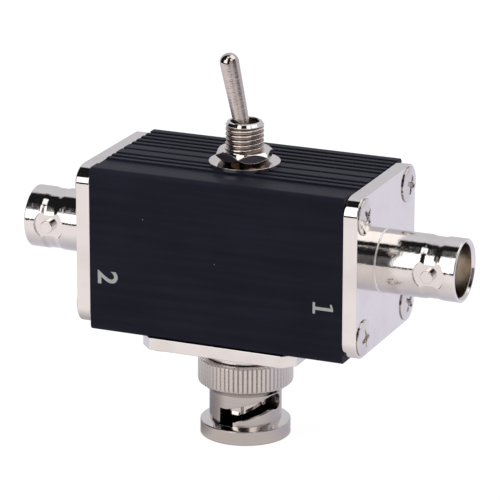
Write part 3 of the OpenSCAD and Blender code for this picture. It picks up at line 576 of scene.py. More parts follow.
def screw_head(turn, depth, reach):
    """Pan head: a side, a rounded shoulder and a dome turned about Z. A cross recess is pressed into the dome:
    its depth falls off across each arm with a smooth step and along it with one less the fifth power of the
    distance. The third result marks the faces of the recess and of the side, which get painted shade."""
    ball = (HEAD_R**2 + HEAD_DOME**2) / (2 * HEAD_DOME)
    ring = np.linspace(HEAD_R - 0.2, 0, 46)
    crown = HEAD_SIDE + HEAD_DOME - ball + np.sqrt(ball**2 - ring**2)
    corners = [[HEAD_R, 0], [HEAD_R, crown[0] - 0.02], [ring[0], crown[0]], [ring[1], crown[1]]]
    shoulder = rounded(corners, 0.2, 6, closed=False)
    profile = np.concatenate([[[HEAD_R, 0]], shoulder[1:-1], np.stack([ring, crown], 1)[1:]])
    points, faces = turned(profile, angles(144))
    c, s = math.cos(turn), math.sin(turn)
    u = np.abs(points[:, 0] * c + points[:, 1] * s)
    v = np.abs(points[:, 1] * c - points[:, 0] * s)

    def arm(a, b):
        wide = 0.31 + 0.27 * np.exp(-((a / 0.55) ** 2))
        return (1 - smooth(wide - 0.07, wide + 0.07, b)) * np.clip(1 - (a / reach) ** 5, 0, 1)

    pressed = np.maximum(arm(u, v), arm(v, u)) * (points[:, 2] > HEAD_SIDE * 0.8)
    points[:, 2] -= depth * pressed
    # the faces of the recess and of the side get painted shade
    return points, faces, (pressed[faces].mean(1) > 0.3) | (points[faces][..., 2].mean(1) < HEAD_SIDE * 0.7)


def screws(name, node, finish, sizes, turns, place):
    """Pan heads, each turned its own way in degrees, and put in its corner by place, a function of its points
    and of its number."""
    heads, pressed = [], []
    for i, turn in enumerate(turns):
        points, faces, mask = screw_head(math.radians(turn), sizes.recess_depth / MM, sizes.recess_reach / MM)
        heads.append((place(points, i), faces))
        pressed.append(mask)
    piece(name, joined(*heads), [finish, recess_finish()], [node], sharp=50, which=np.concatenate(pressed))


class SWITCH_OT_housing(Step, bpy.types.Operator):
    """Ribbed extruded housing"""

    bl_idname = "antenna_switch.housing"
    bl_label = "Housing"

    def build(self, sizes, colours):
        outline = housing_outline(sizes.rib_edge / MM)
        half, edge = HOUSING[1][0], 0.07
        t = np.linspace(0, math.pi / 2, 5)
        x = np.concatenate([half - edge * (1 - np.cos(t)), [half - edge - 0.02]])
        x = np.concatenate([-x, x[::-1]])
        inset = np.concatenate([edge * (1 - np.sin(t)), [0, 0], edge * (1 - np.sin(t))[::-1]])
        rings = np.stack([inward(outline, d) for d in inset])
        points = np.concatenate([np.broadcast_to(x[:, None, None], rings.shape[:2] + (1,)), rings], -1)
        m = len(outline)
        shape = points.reshape(-1, 3), quads(len(x), m)
        caps = [np.arange(m), (len(x) - 1) * m + np.arange(m)]
        finish = anodised_black("anodised_black", colours.anodised)
        piece("housing_shell", shape, [finish], ["housing"], sharp=40, caps=caps)


class SWITCH_OT_marks(Step, bpy.types.Operator):
    """Plain printed numbers by the two jacks"""

    bl_idname = "antenna_switch.marks"
    bl_label = "Marks"

    def build(self, sizes, colours):
        scene = bpy.context.scene
        thick, bolder = 0.00001, 0.00008
        finish = plain_finish("printed_grey", colours.mark, 0.5, scale=3000.0)
        one = np.array([
            [-0.27, -0.5], [0.27, -0.5], [0.27, -0.38], [0.08, -0.38], [0.08, 0.5], [-0.04, 0.5], [-0.25, 0.43],
            [-0.25, 0.34], [-0.07, 0.38], [-0.07, -0.38], [-0.27, -0.38],
        ])
        for text, x, drop in (("1", 17.7, 4.7), ("2", -18.0, 4.4)):
            if text == "1":
                curve = bpy.data.curves.new("mark_1", "CURVE")
                curve.dimensions, curve.fill_mode = "2D", "BOTH"
                line = curve.splines.new("POLY")
                line.points.add(len(one) - 1)
                line.points.foreach_set("co", np.pad(one * sizes.mark_height, ((0, 0), (0, 2))).ravel())
                line.use_cyclic_u = True
            else:
                curve = bpy.data.curves.new("mark_2", "FONT")
                curve.body = text
                curve.align_x, curve.align_y = "CENTER", "CENTER"
                curve.size = sizes.mark_height * 1.4
                curve.offset = bolder
            curve.extrude = thick
            source = bpy.data.objects.new(f"mark_{text}_source", curve)
            scene.collection.objects.link(source)
            bpy.context.view_layer.update()
            final = source.evaluated_get(bpy.context.evaluated_depsgraph_get())
            mesh = bpy.data.meshes.new_from_object(final)
            bpy.data.objects.remove(source)
            stand = Matrix.Rotation(math.radians(90), 4, "X") @ Matrix.Rotation(math.radians(-90), 4, "Z")
            place = Vector((x, HOUSING[0][1], JACK_Z - drop)) * MM
            mesh.transform(Matrix.Translation(place) @ stand)
            obj = bpy.data.objects.new(f"mark_{text}", mesh)
            scene.collection.objects.link(obj)
            mesh.materials.clear()
            mesh.materials.append(finish)
            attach(obj, "body")


class SWITCH_OT_end_plates(Step, bpy.types.Operator):
    """Polished end plates and their screws"""

    bl_idname = "antenna_switch.end_plates"
    bl_label = "End plates and screws"

    def build(self, sizes, colours):
        low, high = PLATE
        size, corner_r = high - low, 2.8
        plate = nickel("plate_nickel", colours.nickel, 0.04, 0.05, 0.05, 0.02, (1.0, 6.0, 1.0))
        bright = nickel("screw_nickel", shade(colours.nickel, (0.93, 0.92, 0.92)), 0.09, 0.06, 0.06, 0.03)
        span_y = SCREWS[1][1] - HEAD_R
        span_z = (SCREWS[1][2] - SCREWS[0][2]) / 2 - HEAD_R
        corners = np.array([[1, -1], [1, 1], [-1, -1], [-1, 1]]) * [span_z, span_y]
        points, faces = slab(lambda d: rectangle(size[2], size[1], corner_r, d), size[0], sizes.plate_edge / MM)
        shape = points + [0, 0, low[0]], faces
        for side, name in ((1, "right"), (-1, "left")):
            piece(f"plate_{name}", along_jack(shape, side), [plate], [f"end_plate_{name}"], sharp=40)
            screws(
                f"screws_{name}", f"plate_screws_{name}", bright, sizes, [a + 9 * side for a in (37, 12, 71, 25)],
                lambda p, i: along_jack((p + [*corners[i], high[0]], None), side)[0],
            )


def barrel_shape():
    """Barrel turned from its profile, which swells in a bead at the plate, as a quarter circle, and narrows with a
    smooth step in a waist round the lug. Its rows are packed closely there, so that the flat spotted round the
    lug gets a clean rim. The second result marks the faces of the bore, which get painted light and shade, and of
    the bead, which gets a painted highlight."""
    back, spot_r = PLATE[1][0], 2.5
    corners = [
        [JACK_R, MOUTH_X - 1.2], [JACK_R, MOUTH_X], [4.5, MOUTH_X], [MOUTH_R, MOUTH_X - 0.4],
        [MOUTH_R, FLOOR_X], [INNER_R, FLOOR_X],
    ]
    mouth = rounded(corners, [0, 0.2, 0.1, 0.15, 0.05, 0], 6, closed=False)
    foot = back + np.linspace(0, FOOT_FLARE + 0.05, 9)
    close = LUG_X + (spot_r + 0.25) * np.linspace(-1, 1, 101)
    x = np.concatenate([foot, [back + 0.4, back + 1.5], close])
    swell = FOOT_FLARE * np.sqrt(np.clip(1 - ((x - back) / FOOT_FLARE) ** 2, 0, 1))
    waist = WAIST * (1 - smooth(0.6, 1.65, np.abs(x - LUG_X)))
    stem = [[INNER_R, back - 1.0], [JACK_R, back - 1.0]]
    profile = np.concatenate([stem, np.stack([JACK_R + swell - waist, x], 1), mouth])
    fine = np.radians(np.arange(-33, 33.01, 0.66))
    coarse = np.radians(np.arange(36, 144.01, 3.0))
    theta = np.concatenate([fine, coarse, fine + math.pi, coarse + math.pi]) + math.pi / 2
    points, faces = turned(profile, theta, closed=True)
    away = np.hypot(points[:, 2] - LUG_X, points[:, 0])
    flat, rim = JACK_R - 0.44, smooth(spot_r - 0.08, spot_r, away)
    depth = np.abs(points[:, 1])
    outer = (np.hypot(points[:, 0], points[:, 1]) > JACK_R - WAIST - 0.01) & (depth > flat)
    level = np.sign(points[:, 1]) * (flat * (1 - rim) + depth * rim)
    points[:, 1] = np.where(outer & (away < spot_r + 0.1), level, points[:, 1])
    middle = points[faces].mean(1)
    radius = np.hypot(middle[:, 0], middle[:, 1])
    which = np.where((radius < MOUTH_R + 0.2) & (middle[:, 2] < MOUTH_X - 0.35), 1, 0)
    which[(radius > JACK_R + 0.005) & (middle[:, 2] > back)] = 2
    return (points, faces), which


class SWITCH_OT_jacks(Step, bpy.types.Operator):
    """Bayonet jacks: barrels, lugs, insulators and contacts"""

    bl_idname = "antenna_switch.jacks"
    bl_label = "Jacks"

    def build(self, sizes, colours):
        # the bore's tone is brightened as painted light, and satin_nickel darkens it above and below the axis as
        # painted shade
        along, bore_painted_light_tone = (1.0, 0.0, 0.0), shade(colours.satin, (1.35, 1.22, 1.08))
        barrel = nickel("jack_nickel", colours.nickel, 0.05, 0.05, 0.06, 0.07, (8.0, 1.0, 1.0), 0.8)
        bore = satin_nickel("bore_painted_shade", bore_painted_light_tone, along, 0.27, 0.12, level=(JACK_Z - 0.4) * MM)
        # painted highlight: the bead's near-white colour stands in for its bright reflection
        bead = satin_nickel("bead_painted_highlight", (0.98, 0.96, 0.95), along, 0.5, 0.05)
        white = plain_finish("insulator_white", colours.insulator, 0.45, scale=900.0)
        gold = plain_finish("contact_gold", colours.gold, 0.22, 1.0, 4000.0, 0.05)
        barrel_mesh, which = barrel_shape()
        lug_r, lug_foot, lug_top = 1.0, 4.15, LUGS[1][1]
        corners = [[0, lug_foot], [lug_r, lug_foot], [lug_r, lug_top], [0, lug_top]]
        pin, pin_faces = turned(rounded(corners, [0, 0, 0.13, 0], 6, closed=False), angles(64))
        hole, foot, nose, nose_x = 1.12, 3.1, 2.36, MOUTH_X - 3.3
        corners = [[hole, FLOOR_X - 1], [foot, FLOOR_X - 1], [foot, FLOOR_X]]
        corners += [[nose, FLOOR_X], [nose, nose_x], [hole, nose_x]]
        core = turned(rounded(corners, [0, 0, 0, 0, 0.15, 0], 4), angles(96), closed=True)
        socket = tube(0.73, 1.1, FLOOR_X, MOUTH_X - 3.25, [0, 0, 0.1, 0.12], 4, 64)
        for side, name in ((1, "right"), (-1, "left")):
            shape = along_jack(barrel_mesh, side)
            piece(f"barrel_{name}", shape, [barrel, bore, bead], [f"jack_shell_{name}"], sharp=45, which=which)
            pins = [
                (np.stack([pin[:, 0] + side * LUG_X, way * pin[:, 2], pin[:, 1] + JACK_Z], 1), pin_faces)
                for way in (1, -1)
            ]
            piece(f"lugs_{name}", joined(*pins), [barrel], [f"jack_lugs_{name}"], sharp=45)
            insulator = f"jack_insulator_{name}"
            piece(f"insulator_{name}", along_jack(core, side), [white], [insulator])
            piece(f"contact_{name}", along_jack(socket, side), [gold], [])
        dress(gold, "jack_contact_left", "jack_contact_right")


def hexagon_shape():
    """Nut whose radius is the least of the hexagon's and those of a 45 degree cone at each face. The second result
    marks the faces of the cone at its foot, which get painted shade, and of the flats."""
    z0, z1, flat, bore = HEX[0][2], HEX[1][2], 4.0, 2.9
    foot_cut, top_cut, lower = 0.5, 0.05, slice(1, 40)
    first, sixth, columns = math.radians(-79.5), math.pi / 3, 360
    theta = angles(columns, first)
    fold = sixth / 2 - np.abs((theta - first + sixth / 2) % sixth - sixth / 2)
    hexagon = flat / np.cos(fold)
    z = np.concatenate([[z0], np.linspace(z0, z1, 58)])
    cones = np.minimum(flat - top_cut + z1 - z, flat - foot_cut + z - z0)
    side = np.minimum(hexagon[None], cones[:, None])
    side[0] = bore
    inner = np.array([[flat - 0.35, z1], [3.2, z1], [3.05, z1 - 0.1], [bore, z1 - 0.25]])
    rows = np.concatenate([side, np.broadcast_to(inner[:, :1], (len(inner), columns))])
    heights = np.concatenate([z, inner[:, 1]])[:, None]
    on_flat = rows > hexagon - 0.01
    which = np.where(on_flat, 2, 0)
    # painted shade: the cone at the nut's foot
    which[lower][~on_flat[lower] & (heights[lower] < z0 + 1.1)] = 1
    shape = around(rows, heights, theta) + STAND, quads(len(rows), columns, wrap_n=True)
    return shape, which.ravel()


def bushing_shape(pitch):
    """Bushing whose thread's radius follows a rounded wave of the height less the turn's share of the pitch, and
    runs out smoothly below the crown. The second result marks the faces between the crests and of the bore, which
    get painted shade."""
    top, crest, deep = BUSHING_TOP, 2.96, 0.3
    start, end, floor, columns = HEX[1][2] - 1.2, top - 0.55, top - 3.4, 160
    theta = angles(columns)
    z = np.arange(start, end, pitch / 20)
    phase = 2 * math.pi * (z[:, None] / pitch - theta[None] / (2 * math.pi))
    wave = np.clip(0.48 + 0.78 * np.cos(phase), 0, 1)
    runout = smooth(end - 0.3, end - 0.05, z)[:, None]
    rows = crest - deep * (1 - (wave * (1 - runout) + runout))
    corners = [
        [crest, end], [crest, top - 0.52], [2.66, top - 0.09], [2.45, top], [2.28, top], [2.2, top - 0.1],
        [2.2, top - 3.2], [1.5, floor],
    ]
    crown = rounded(corners, [0, 0.1, 0.12, 0.05, 0.05, 0.05, 0.1, 0], 5, closed=False)
    rows = np.concatenate([rows, np.broadcast_to(crown[:, :1], (len(crown), columns))])
    heights = np.concatenate([z, crown[:, 1]])[:, None]
    ends = around(0, start, theta), around(0, floor, theta)
    points = np.concatenate([ends[0], around(rows, heights, theta), ends[1]])
    middle = (rows[:-1] + np.roll(rows[:-1], -1, 1) + rows[1:] + np.roll(rows[1:], -1, 1)) / 4
    # painted shade: the faces between the crests and in the bore
    valley_shade = np.where((middle < crest - 0.05) & (heights[1:] < end), 1, 0)
    valley_shade[(middle < 2.22) & (heights[1:] < top - 0.15)] = 1
    valley_shade = np.concatenate([valley_shade[:1], valley_shade, valley_shade[-1:]]).ravel()
    return (points + STAND, quads(len(rows) + 2, columns)), valley_shade


def lever_shape():
    """Lever about +Z, from its pivot's ball up: a shaft that widens evenly and ends in half a ball."""
    neck, tip, length, ball_r, shaft_foot = 1.25, 1.5, 13.545, 2.28, 2.95
    t = np.linspace(0, math.pi / 2, 20)
    dome = np.stack([tip * np.cos(t), length - tip + tip * np.sin(t)], 1)
    s = np.linspace(-math.pi / 2, math.acos(neck / ball_r), 24)
    ball = ball_r * np.stack([np.cos(s), np.sin(s)], 1)
    shaft = np.linspace(0, 1, 12)[:, None] * [tip - neck, length - tip - shaft_foot] + [neck, shaft_foot]
    return turned(np.concatenate([ball, shaft, dome[1:]]), angles(96))


class SWITCH_OT_toggle(Step, bpy.types.Operator):
    """Toggle switch above the housing: washer, nut, threaded bushing and lever"""

    bl_idname = "antenna_switch.toggle"
    bl_label = "Toggle switch"

    def build(self, sizes, colours):
        bright = nickel("toggle_nickel", colours.nickel, 0.06, 0.05, 0.05, 0.03)
        # painted shade: a dark brown nickel for the thread's valleys and the bushing's bore
        thread = nickel("thread_painted_shade", shade(colours.nickel, (0.52, 0.42, 0.36)), 0.26, 0.06, 0.06, 0.03)
        flats = nickel("flat_nickel", shade(colours.nickel, (0.95, 0.93, 0.92)), 0.17, 0.03, 0.05, 0.03)
        # painted shade: a dark nickel for the hexagon nut's foot cone
        nut_foot_shade = nickel("nut_foot_painted_shade", shade(colours.nickel, (0.20, 0.155, 0.13)), 0.16, 0.06, 0.06, 0.03)
        ring_r = (RING[1][0] - RING[0][0]) / 2
        p, f = tube(3.0, ring_r, RING[0][2], RING[1][2], [0, 0.04, 0.05, 0.1], 5, 128)
        piece("ring_under_nut", (p + STAND, f), [bright], ["toggle_washer"], sharp=40)
        shape, which = hexagon_shape()
        piece("hexagon_nut", shape, [bright, nut_foot_shade, flats], ["toggle_nut"], sharp=28, which=which)
        shape, which = bushing_shape(sizes.thread_pitch / MM)
        piece("threaded_bushing", shape, [bright, thread], ["toggle_bushing"], sharp=60, which=which)
        axis = (-math.sin(LEAN), 0.0, math.cos(LEAN))
        tip_from = 0.01205
        polished = float(np.dot(PIVOT, axis)) * MM + tip_from
        lever = satin_nickel("lever_nickel", shade(colours.satin, (0.88, 0.83, 0.82)), axis, 0.14, 0.35, polished)
        p, f = lever_shape()
        piece("lever_stem", (leaned(p), f), [lever], ["toggle_lever"], "lever", 40)


class SWITCH_OT_flange(Step, bpy.types.Operator):
    """Flange under the housing, its collar and its four screws"""

    bl_idname = "antenna_switch.flange"
    bl_label = "Flange"

    def build(self, sizes, colours):
        finish = nickel("flange_nickel", colours.nickel, 0.07, 0.06, 0.05, 0.03)
        low, high = FLANGE
        size, thick, cut = high - low, 1.95, 1.9
        under = high[2] - thick
        plate, faces = slab(lambda d: cut_rectangle(size[0], size[1], cut, d), thick, sizes.flange_edge / MM)
        collar = tube(4.55, 6.3, low[2], under + 0.1, [0.1, 0.15, 0, 0], 5, 128)
        shape = joined((plate + [0, 0, under], faces), collar)
        piece("flange_plate", shape, [finish], ["tx_flange"], sharp=40)
        corners = np.array([[-1, -1], [1, -1], [-1, 1], [1, 1]]) * (FLANGE_SCREWS[1][:2] - HEAD_R)
        screws(
            "flange_screws", "tx_flange_screws", finish, sizes, (20, 64, 5, 48),
            lambda p, i: p * [1, -1, -1] + [*corners[i], under],
        )


def nut_columns(teeth):
    """Angles round the coupling nut: even steps, with a pair a hair apart at each upright side of the slots, and
    close ones round the half of each lock hole that stands past its slot."""
    hair, half = 0.0015, SLOT_HALF / NUT_R
    edges = []
    for base in (SLOT_START, SLOT_START + math.pi):
        lock = base + SLOT_TURN
        for a in (base - half, base + half, lock):
            edges += [a - hair, a + hair]
        edges += [*(lock + np.linspace(0.012, 1.24 / NUT_R, 14)), lock + LOCK_R / NUT_R + 0.002]
    steps = np.concatenate([angles(teeth * 10), np.array(edges) % (2 * math.pi)])
    return np.unique(np.round(steps, 6))


def slot_span(theta):
    """Lower and upper edge of the bayonet slot at each angle, whether it is open there, and whether that is its
    entry. The slot climbs in a straight line from the entry, runs level, and ends in a round lock hole."""
    s = (theta - SLOT_START + math.pi / 2) % math.pi - math.pi / 2
    s = np.where(s < -0.5, s + math.pi, s)
    wide = SLOT_HALF / NUT_R
    middle = SLOT_LOW + SLOT_CLIMB * np.clip(s / SLOT_TURN / SLOT_LEVEL_FROM, 0, 1)
    band_of = (s > -wide) & (s < SLOT_TURN)
    low = np.where(s < wide, 0.0, middle - SLOT_HALF)
    high = middle + SLOT_HALF
    across = (s - SLOT_TURN) * NUT_R
    hole = np.abs(across) < LOCK_R
    chord = np.sqrt(np.clip(LOCK_R**2 - across**2, 0, None))
    bottom, top = LOCK_Z - chord, LOCK_Z + chord
    low = np.where(hole, np.where(band_of, np.minimum(low, bottom), bottom), low)
    high = np.where(hole, np.where(band_of, np.maximum(high, top), top), high)
    opened = band_of | hole
    return np.where(opened, low, SLOT_LOW), np.where(opened, high, SLOT_LOW), opened, opened & (s < wide)


def nut_shape(teeth):
    """Coupling nut as two loops of rows round its section, one below the slots and one above. They share their
    ends where a slot is closed. The knurl's radius is the least of the profile's and a smooth step across each
    tooth. The second result marks the faces of the barrel and rim, of the bore and the slots' walls, which get
    painted shade, and of the rim's cone."""
    theta = nut_columns(teeth)
    m = len(theta)
    low, high, opened, entry = slot_span(theta)
    soft = np.where(opened, 0.09, 0.0)
    quarter = np.linspace(0, math.pi / 2, 5)

    def row(r, z):
        return np.stack([np.broadcast_to(r, (m,)), np.broadcast_to(z, (m,))], -1)

    # lower loop: up the bore to the slot's lower edge, then down the barrel, the rim and its underside
    inner, out_r = np.where(entry, 5.72, NUT_BORE), np.where(entry, 5.74, NUT_R)
    low_in, low_out = np.where(entry, RIM_TOP - 0.02, low), np.where(entry, RIM_TOP, low)
    bevel_r, bevel_z = 5.25, 0.3
    lower = [row(np.maximum(inner, bevel_r), 0.03), row(inner, bevel_z)]
    lower += [row(inner, bevel_z + (low_in - bevel_z) * k) for k in (0.35, 0.7)]
    lower += [row(inner, low_in - soft)]
    wall = slice(len(lower) - 1, len(lower) + 3)
    lower += [row(out_r - soft * (1 - np.sin(a)), low_out - soft * (1 - np.cos(a))) for a in quarter[1:]]
    drop = np.maximum(low_out - soft, RIM_TOP) - RIM_TOP
    lower += [row(out_r, RIM_TOP + drop * k) for k in (0.75, 0.5, 0.25, 0.0)]
    corners = [[NUT_R + 0.1, RIM_TOP - 0.02], [7.05, 2.2], [7.05, 0.0], [5.35, 0.0]]
    rim = rounded(corners, [0, 0.16, 0.16, 0.08], 5, closed=False)
    lower = np.stack(lower + [row(r, z) for r, z in rim[1:]])

    # upper loop: from the slot's upper edge up the barrel, the skirt and the knurl, over the top and down the bore
    skirt_z, valley, crest, counterbore = 7.4, 7.15, 7.45, 10.2
    foot = high + soft
    upper = [row(NUT_R - soft * (1 - np.sin(a)), high + soft * (1 - np.cos(a))) for a in quarter]
    upper += [row(NUT_R, foot + (skirt_z - high - soft) * k) for k in (0.25, 0.5, 0.75)]
    corners = [[NUT_R, 7.3], [NUT_R, 7.45], [5.9, 7.45], [7.0, 8.45]]
    upper += [row(r, z) for r, z in rounded(corners, [0, 0.03, 0.06, 0], 4, closed=False)[1:-1]]
    corners = [
        [7.0, 8.45], [7.1, 8.47], [7.38, 8.68], [crest, 8.95], [crest, 12.5], [7.18, NUT_TOP], [4.7, NUT_TOP],
    ]
    knurl = rounded(corners, [0, 0.05, 0.3, 0.3, 0.12, 0.08, 0], 4, closed=False)
    tall = np.linspace(9.3, 12.3, 5)
    where = int(np.argmax(knurl[:, 1] > 11.0))
    knurl = np.concatenate([knurl[:where], np.stack([0 * tall + crest, tall], 1), knurl[where:]])
    tooth = np.abs((theta / (2 * math.pi / teeth)) % 1.0 - 0.5) * 2
    limit = valley + (crest - valley) * smooth(0.08, 0.34, tooth)
    upper += [row(np.minimum(r, limit) if r > 7.1 else r, z) for r, z in knurl]
    inside = [[4.6, NUT_TOP], [4.6, 12.2], [5.5, 12.2], [5.5, counterbore], [NUT_BORE, counterbore]]
    upper += [row(r, z) for r, z in inside]
    upper += [row(NUT_BORE, foot + (counterbore - high - soft) * k) for k in (0.5, 0.0)]
    upper = np.stack(upper)

    # the wall rows are left out where the slot is closed, so both loops weld into one solid there
    def loop_shape(loop, walls):
        faces = quads(len(loop), m, wrap_n=True).reshape(len(loop), m, 4)
        keep = np.ones((len(loop), m), bool)
        keep[walls] = opened | np.roll(opened, -1)
        return around(loop[..., 0], loop[..., 1], theta), faces[keep]

    shape = joined(loop_shape(lower, wall), loop_shape(upper, len(upper) - 1))
    middle = shape[0][shape[1]].mean(1)
    radius, height = np.hypot(middle[:, 0], middle[:, 1]), middle[:, 2]
    # the bore and the slots' walls get painted shade
    which = np.where(radius < 5.0, 2, np.where(height < 8.4, 1, 0))
    which[(radius > 4.99) & (radius < 5.6) & (height > 4.8) & (height < 7.2)] = 2
    which[(radius > 5.67) & (radius < 6.85) & (height > 2.1) & (height < RIM_TOP)] = 3
    return shape, which


def sleeve_shape():
    """Tube whose tip is cut back where a slit passes."""
    bore, outer, top, slit_top, slit_half = 3.45, 4.0, 10.15, 8.9, 0.063
    slits = np.radians([-74.0, 16.0, 106.0, 196.0])
    near = np.concatenate([s + np.array([-0.064, -0.062, 0.062, 0.064]) for s in slits])
    turn = np.unique(np.round(np.concatenate([angles(96), near % (2 * math.pi)]), 6))
    gap = np.min(np.abs((turn[None] - slits[:, None] + math.pi) % (2 * math.pi) - math.pi), 0) < slit_half
    tip = np.where(gap, slit_top, PLUG[0][2])
    loop = [(bore, top), (outer, top), (outer, tip + 0.27), (3.93, tip + 0.08), (3.75, tip), (bore, tip)]
    points = np.concatenate([around(r, z, turn) for r, z in loop])
    return points, quads(len(loop), len(turn), wrap_n=True)


class SWITCH_OT_coupling_nut(Step, bpy.types.Operator):
    """Knurled coupling nut with its two bayonet slots, and the slit sleeve inside it"""

    bl_idname = "antenna_switch.coupling_nut"
    bl_label = "Coupling nut"

    def build(self, sizes, colours):
        # painted shade: the nut's bore and the slots' walls get a dark nickel
        axis, nut_inside_shade_tone = (0.0, 0.0, 1.0), shade(colours.satin, (0.30, 0.26, 0.23))
        finish = satin_nickel("knurl_nickel", colours.satin, axis, 0.2, 0.14)
        turned_face = satin_nickel("nut_nickel", shade(colours.satin, (0.9, 0.88, 0.87)), axis, 0.1, 0.12)
        nut_inside_shade = satin_nickel("nut_bore_painted_shade", nut_inside_shade_tone, axis, 0.3, 0.14)
        sleeve = nickel("sleeve_nickel", colours.nickel, 0.04, 0.03, 0.04, 0.02)
        finishes = [finish, turned_face, nut_inside_shade, sleeve]
        shape, which = nut_shape(sizes.knurl_teeth)
        piece("coupling_nut", shape, finishes, ["tx_coupling_nut"], "nut", 36, which=which)
        piece("slit_sleeve", sleeve_shape(), [sleeve], ["tx_plug_body"])


class SWITCH_OT_inner_parts(Step, bpy.types.Operator):
    """Finishes of the parts inside the housing and the plug"""

    bl_idname = "antenna_switch.inner_parts"
    bl_label = "Inner parts"

    def build(self, sizes, colours):
        steel = satin_nickel("inner_steel", colours.satin)
        white = plain_finish("inner_insulator", colours.insulator, 0.45, scale=900.0)
        gold = plain_finish("inner_gold", colours.gold, 0.25, 1.0, 4000.0, 0.05)
        dress(steel, "jack_washer_left", "jack_washer_right", "jack_nut_left", "jack_nut_right", "toggle_frame")
        dress(steel, "tx_retaining_ring", "tx_thrust_washer")
        dress(gold, "toggle_rocker", "terminal_common", "terminal_left", "terminal_right", "tx_centre_pin")
        dress(white, "tx_insulator", "toggle_plunger")
        dress(plain_finish("case_blue", (0.03, 0.07, 0.18), 0.4), "toggle_case")
        dress(plain_finish("gasket_red", (0.42, 0.10, 0.07), 0.6), "tx_gasket")
        copper = plain_finish("tinned_copper", (0.68, 0.63, 0.58), 0.3, 1.0)
        dress(copper, "lead_left", "lead_right", "lead_tx")


class SWITCH_OT_springs(Step, bpy.types.Operator):
    """Wave spring that the nut presses on, and coil that the lever's plunger presses on"""

    bl_idname = "antenna_switch.springs"
    bl_label = "Springs"

    def build(self, sizes, colours):
        steel = satin_nickel("spring_steel", colours.satin)

        # flat ring whose height swings as the sine of three times the angle
        foot, height, half_t, travel, columns = 10.75, 1.1, 0.125, 0.7, 120
        p, f = tube(4.65, 5.35, -half_t, half_t, 0.04, 2, columns)
        swing = np.tile(np.sin(3 * angles(columns)), len(p) // columns)
        p[:, 2] += foot + height / 2 + (height / 2 - half_t) * swing
        spring = piece("wave_spring", (p, f), [steel], ["tx_wave_spring"], sharp=40)
        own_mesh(spring)

        # wire of radius w on a helix of radius a: r = a + w cos t, z rises evenly with the turns, plus w sin t
        wire, coil, top, height, turns, travel, columns = 0.11, 0.61, -7.25, 1.21, 3, 0.5, 10
        turn = np.linspace(0, 2 * math.pi * turns, 24 * turns + 1)[:, None]
        t = angles(columns)[None, :]
        fall = (height - 2 * wire) * (1 - turn / turn.max())
        p = around(coil + wire * np.cos(t), top - wire - fall + wire * np.sin(t), turn)
        last = len(p) - columns
        caps = [range(columns), range(last, last + columns)]
        shape = leaned(p), quads(len(turn), columns)
        spring = piece("coil_spring", shape, [steel], ["toggle_spring"], "lever", 40, caps)
        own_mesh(spring)


# ---------------------------------------------------------------- stage


def seen_as(tree, camera, gloss, soft):
    """One shader for the camera's rays, one for glossy and transmitted rays, and one for all others."""
    path = add(tree, "LightPath", {}).outputs
    shiny = largest(tree, path["Is Glossy Ray"], path["Is Transmission Ray"])
    other = add(tree, "MixShader", {0: shiny, 1: soft, 2: gloss}).outputs[0]
    return add(tree, "MixShader", {0: path["Is Camera Ray"], 1: other, 2: camera}).outputs[0]


def studio_world():
    """White to the camera, plain soft light to the object, and to gloss a studio: a pale backdrop, a dark ceiling,
    a dim wall to the right, a soft box in front to the left, a smaller one in front to the right, a small one
    overhead and a high one behind to the right."""
    world = bpy.data.worlds.new("studio")
    bpy.context.scene.world = world
    world.use_nodes = True
    t = world.node_tree
    t.nodes.clear()
    way = add(t, "TexCoord", {}).outputs["Generated"]
    x, y, z = add(t, "SeparateXYZ", {0: way}).outputs
    side = maths(t, "ARCTAN2", x, product(t, y, -1.0))

    backdrop = product(t, spread(t, z, 0.2, 0.9, 0.66, 0.74), spread(t, y, 0.2, 0.32))
    wall = product(
        t, spread(t, side, 0.3, 0.5), spread(t, side, 1.0, 1.15, 0.5, 0.16), spread(t, z, 0.35, 0.5, 1.0, 0.0)
    )
    over = maths(t, "SUBTRACT", z, spread(t, x, -0.41, -0.35, 0.52, 0.805))
    below = spread(t, over, -0.015, 0.015, 1.0, 0.0)
    front_left = product(t, below, spread(t, z, 0.03, 0.045), band(t, side, -0.85, -0.77, -0.12, -0.06))
    behind_right = product(
        t, band(t, x, 0.02, 0.08, 0.72, 0.8), band(t, y, -0.2, -0.14, 0.62, 0.7), spread(t, z, 0.55, 0.6)
    )
    front_right = product(t, band(t, z, 0.5, 0.54, 0.8, 0.84), band(t, side, 0.62, 0.68, 1.2, 1.26))
    overhead = product(
        t, band(t, x, -0.28, -0.265, 0.06, 0.09), band(t, y, -0.5, -0.47, -0.15, -0.12), spread(t, z, 0.8, 0.83)
    )
    small = product(t, largest(t, front_right, overhead), 1.4)
    boxes = largest(t, product(t, front_left, 1.7), product(t, behind_right, 1.5), small)
    level = maths(t, "ADD", largest(t, boxes, backdrop, wall), 0.012)
    colour = mixed(t, maths(t, "MINIMUM", boxes, 1.0), (0.955, 0.945, 1.0), (1.0, 0.985, 0.97))
    gloss = add(t, "Background", {"Strength": level, "Color": colour}).outputs[0]
    soft = add(t, "Background", {"Strength": 0.8}).outputs[0]
    white = add(t, "Background", {"Color": (1.0, 1.0, 1.0), "Strength": 1.06}).outputs[0]
    add(t, "OutputWorld", {0: seen_as(t, white, gloss, soft)})


